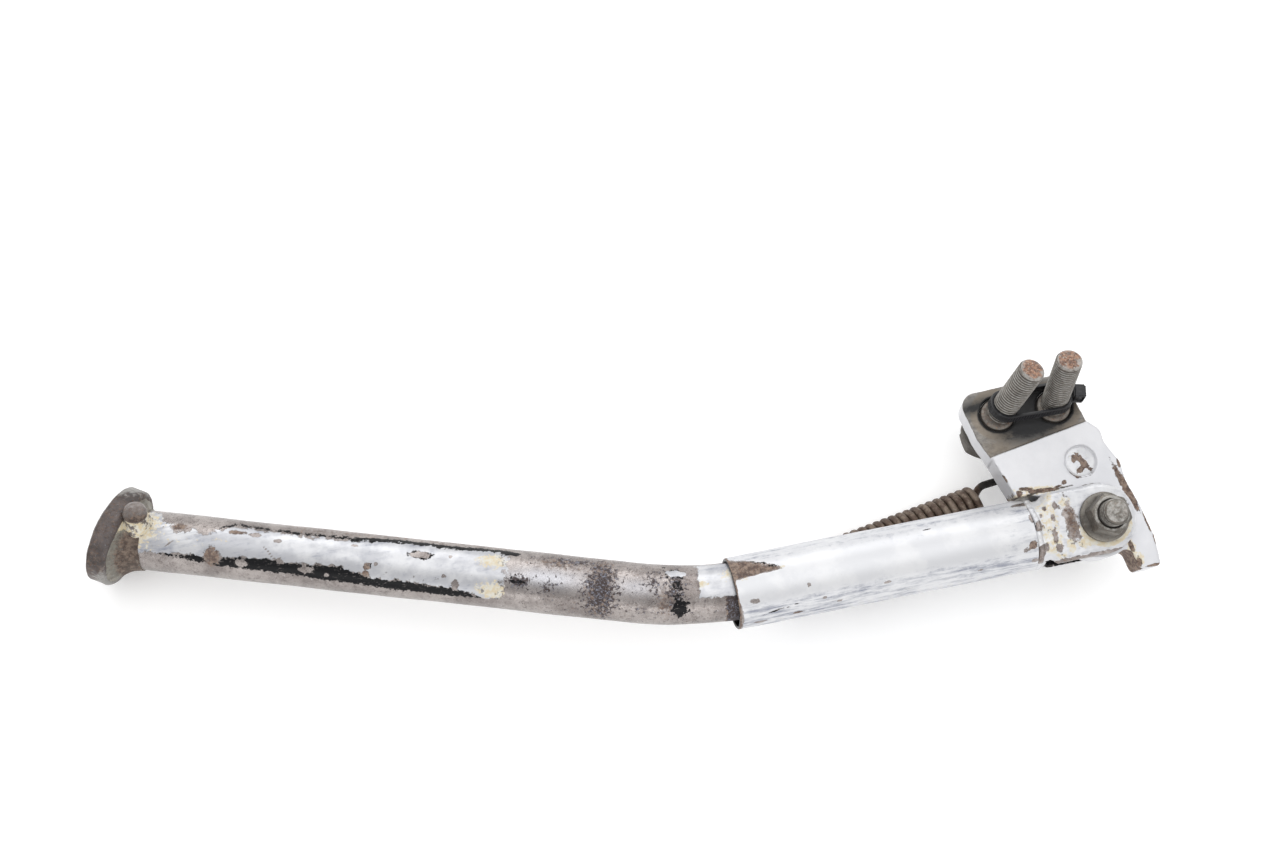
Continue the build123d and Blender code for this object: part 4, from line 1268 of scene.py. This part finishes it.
def build_cable_tie(material):
    """A ribbed strap pulled round both bolts, with its square head beside them."""
    centres, axes = tie_centres()
    line = unit(centres[1] - centres[0])
    side = np.cross((0, 0, 1), line)
    beside = centres[1] + line * (TIE_BORE + TIE_T + TIE_HEAD[0] / 2) + (0, 0, 1.1)
    along = line * math.cos(TIE_HEAD_TURN) + side * math.sin(TIE_HEAD_TURN)
    head = placed(tie_head(), frame_at(beside, (0, 0, 1), along))
    tie = joined(tie_strap(tie_stations(centres, axes, line)), head)
    add_piece("cable_tie_nylon", placed(tie, PAD_FRAME), "bracket", material, ["cable_tie"],
              sharp=35)


# ---------------------------------------------------------------- return spring

def spring_hook(eye_r, length):
    """An eye round its pin, at the origin, and the wire that leads from it to the coil."""
    arc = [(eye_r * math.cos(a), eye_r * math.sin(a), 0) for a in np.radians(np.arange(-340, -89, 6))]
    lead = [(x, -eye_r - (x / length) ** 3 * (COIL_R - eye_r), 0) for x in np.arange(1.0, length - 2.5, 1.0)]
    return np.array(arc[:-1] + [(0, -eye_r, 0)] + lead)


def spring_path():
    """The wire's centre line in the spring's frame: X from post to peg, Z along the pivot."""
    upper = spring_hook(UPPER_EYE_R, UPPER_HOOK)
    lower = (spring_hook(LOWER_EYE_R, LOWER_HOOK) * (-1, 1, 1) + (SPRING_LENGTH, 0, 0))[::-1]
    start, end = UPPER_HOOK + 1.0, SPRING_LENGTH - LOWER_HOOK - 1.0
    turns = round((end - start) / COIL_PITCH)
    angles = np.linspace(0, turns * 2 * math.pi, turns * 26 + 1) - math.pi / 2
    x = np.linspace(start, end, len(angles))
    coil = np.stack([x, COIL_R * np.sin(angles), -COIL_R * np.cos(angles)], 1)
    first = hermite(upper[-1], (1, 0, 0), coil[8], coil[9] - coil[8], 10)[1:-1]
    last = hermite(coil[-9], coil[-9] - coil[-10], lower[0], (1, 0, 0), 10)[1:-1]
    return np.vstack([upper, first, coil[8:-8], last, lower])


def build_spring(material):
    along = PIVOT_INVERSE[:3, :3] @ np.array(JOINTS["spring_stretch"]["axis"])
    centre = from_row(np.array([JOINTS["spring_turn"]["pos_m"]]))[0]
    place = frame_at(centre, (0, 0, 1), along)
    wire = swept(spring_path(), WIRE_R, 14)
    oily = 0.9 * (1 - side_of(wire[0][:, 0], UPPER_HOOK - 1, 2.5))
    piece = add_piece("return_spring_wire", placed(wire, place), None, material,
                      ["return_spring_upper", "return_spring_lower"], {"oily": oily}, sharp=80)
    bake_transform(piece)


# ---------------------------------------------------------------- stage

CAMERA_PLACE = (-0.02737, -0.16975, 0.6759)
CAMERA_RIGHT = (0.99877, -0.02265, 0.04408)
CAMERA_BACK = (-0.0488, -0.29532, 0.95415)


def add_camera():
    camera = bpy.data.cameras.new("camera")
    camera.lens = 50.0
    camera.sensor_width = 36.0
    camera.clip_end = 10.0
    holder = bpy.data.objects.new("camera", camera)
    bpy.context.scene.collection.objects.link(holder)
    holder.matrix_world = Matrix(frame_at(CAMERA_PLACE, CAMERA_BACK, CAMERA_RIGHT).tolist())
    bpy.context.scene.camera = holder


def add_light(name, place, size, power, target=(0.0, 0.0, 0.02)):
    light = bpy.data.lights.new(name, "AREA")
    light.shape = "RECTANGLE"
    light.size, light.size_y = size
    light.energy = power
    holder = bpy.data.objects.new(name, light)
    holder.location = place
    holder.rotation_euler = (Vector(place) - Vector(target)).to_track_quat("Z", "Y").to_euler()
    bpy.context.scene.collection.objects.link(holder)


def add_stage():
    world = bpy.data.worlds.new("studio")
    bpy.context.scene.world = world
    world.use_nodes = True
    world.node_tree.nodes["Background"].inputs["Color"].default_value = (1.0, 1.0, 1.0, 1.0)
    world.node_tree.nodes["Background"].inputs["Strength"].default_value = 0.82
    bpy.context.scene.view_settings.view_transform = "Standard"
    add_light("top_softbox", (0.1, 0.15, 1.4), (1.6, 1.0), 5.5)
    add_light("back_softbox", (0.0, 1.3, 0.9), (1.8, 0.9), 8.0)
    add_light("front_softbox", (0.1, -1.7, 0.5), (2.2, 0.6), 5.0)
    floor = bpy.data.meshes.new("floor")
    half = 4.0
    corners = [(-half, -half, 0), (half, -half, 0), (half, half, 0), (-half, half, 0)]
    floor.from_pydata(corners, [], [(0, 1, 2, 3)])
    floor.materials.append(floor_material())
    plane = bpy.data.objects.new("floor", floor)
    plane.location.z = -0.0001
    bpy.context.scene.collection.objects.link(plane)


paint = worn_paint("silver_paint_worn")
leg_paint = worn_paint("leg_paint_worn", streaks=(0.10, 1.4, 1.4), tone=(0.47, 0.475, 0.50), shine=0.65,
                       gloss=0.36)
foot_steel = bare_steel("foot_steel", (0.15, 0.128, 0.126), (0.045, 0.037, 0.036), 0.42, 0.22, 0.5)
flare_steel = bare_steel("flare_steel", (0.26, 0.25, 0.21), (0.11, 0.10, 0.085), 0.5, 0.5, 0.3)
peg_steel = bare_steel("peg_steel", (0.30, 0.275, 0.265), (0.09, 0.07, 0.06), 0.42, 0.3, 0.6)
fastener_steel = bare_steel("fastener_steel", (0.23, 0.215, 0.19), (0.065, 0.058, 0.05), 0.38, 0.3, 0.75)
bolt_steel = bare_steel("bolt_steel", (0.30, 0.28, 0.25), (0.12, 0.11, 0.10), 0.45, 0.25, 0.5)
post_steel = bare_steel("post_steel", (0.26, 0.24, 0.23), (0.10, 0.09, 0.085), 0.42, 0.4)
bearing_steel = bare_steel("bearing_steel", (0.45, 0.44, 0.42), (0.2, 0.19, 0.18), 0.28, 0.05)

add_camera()
add_stage()
build_leg(leg_paint)
build_sleeve(paint)
build_weld(paint)
build_fork(paint)
build_pivot(fastener_steel, bearing_steel)
build_foot(foot_steel)
build_flare(flare_steel)
build_kick_peg(peg_steel)
build_bracket(bracket_paint())
build_posts(post_steel, paint)
for side, hole in zip(("left", "right"), PAD_HOLES):
    build_mounting_bolt(side, hole, bolt_steel)
build_cable_tie(nylon())
build_spring(rusty_wire())
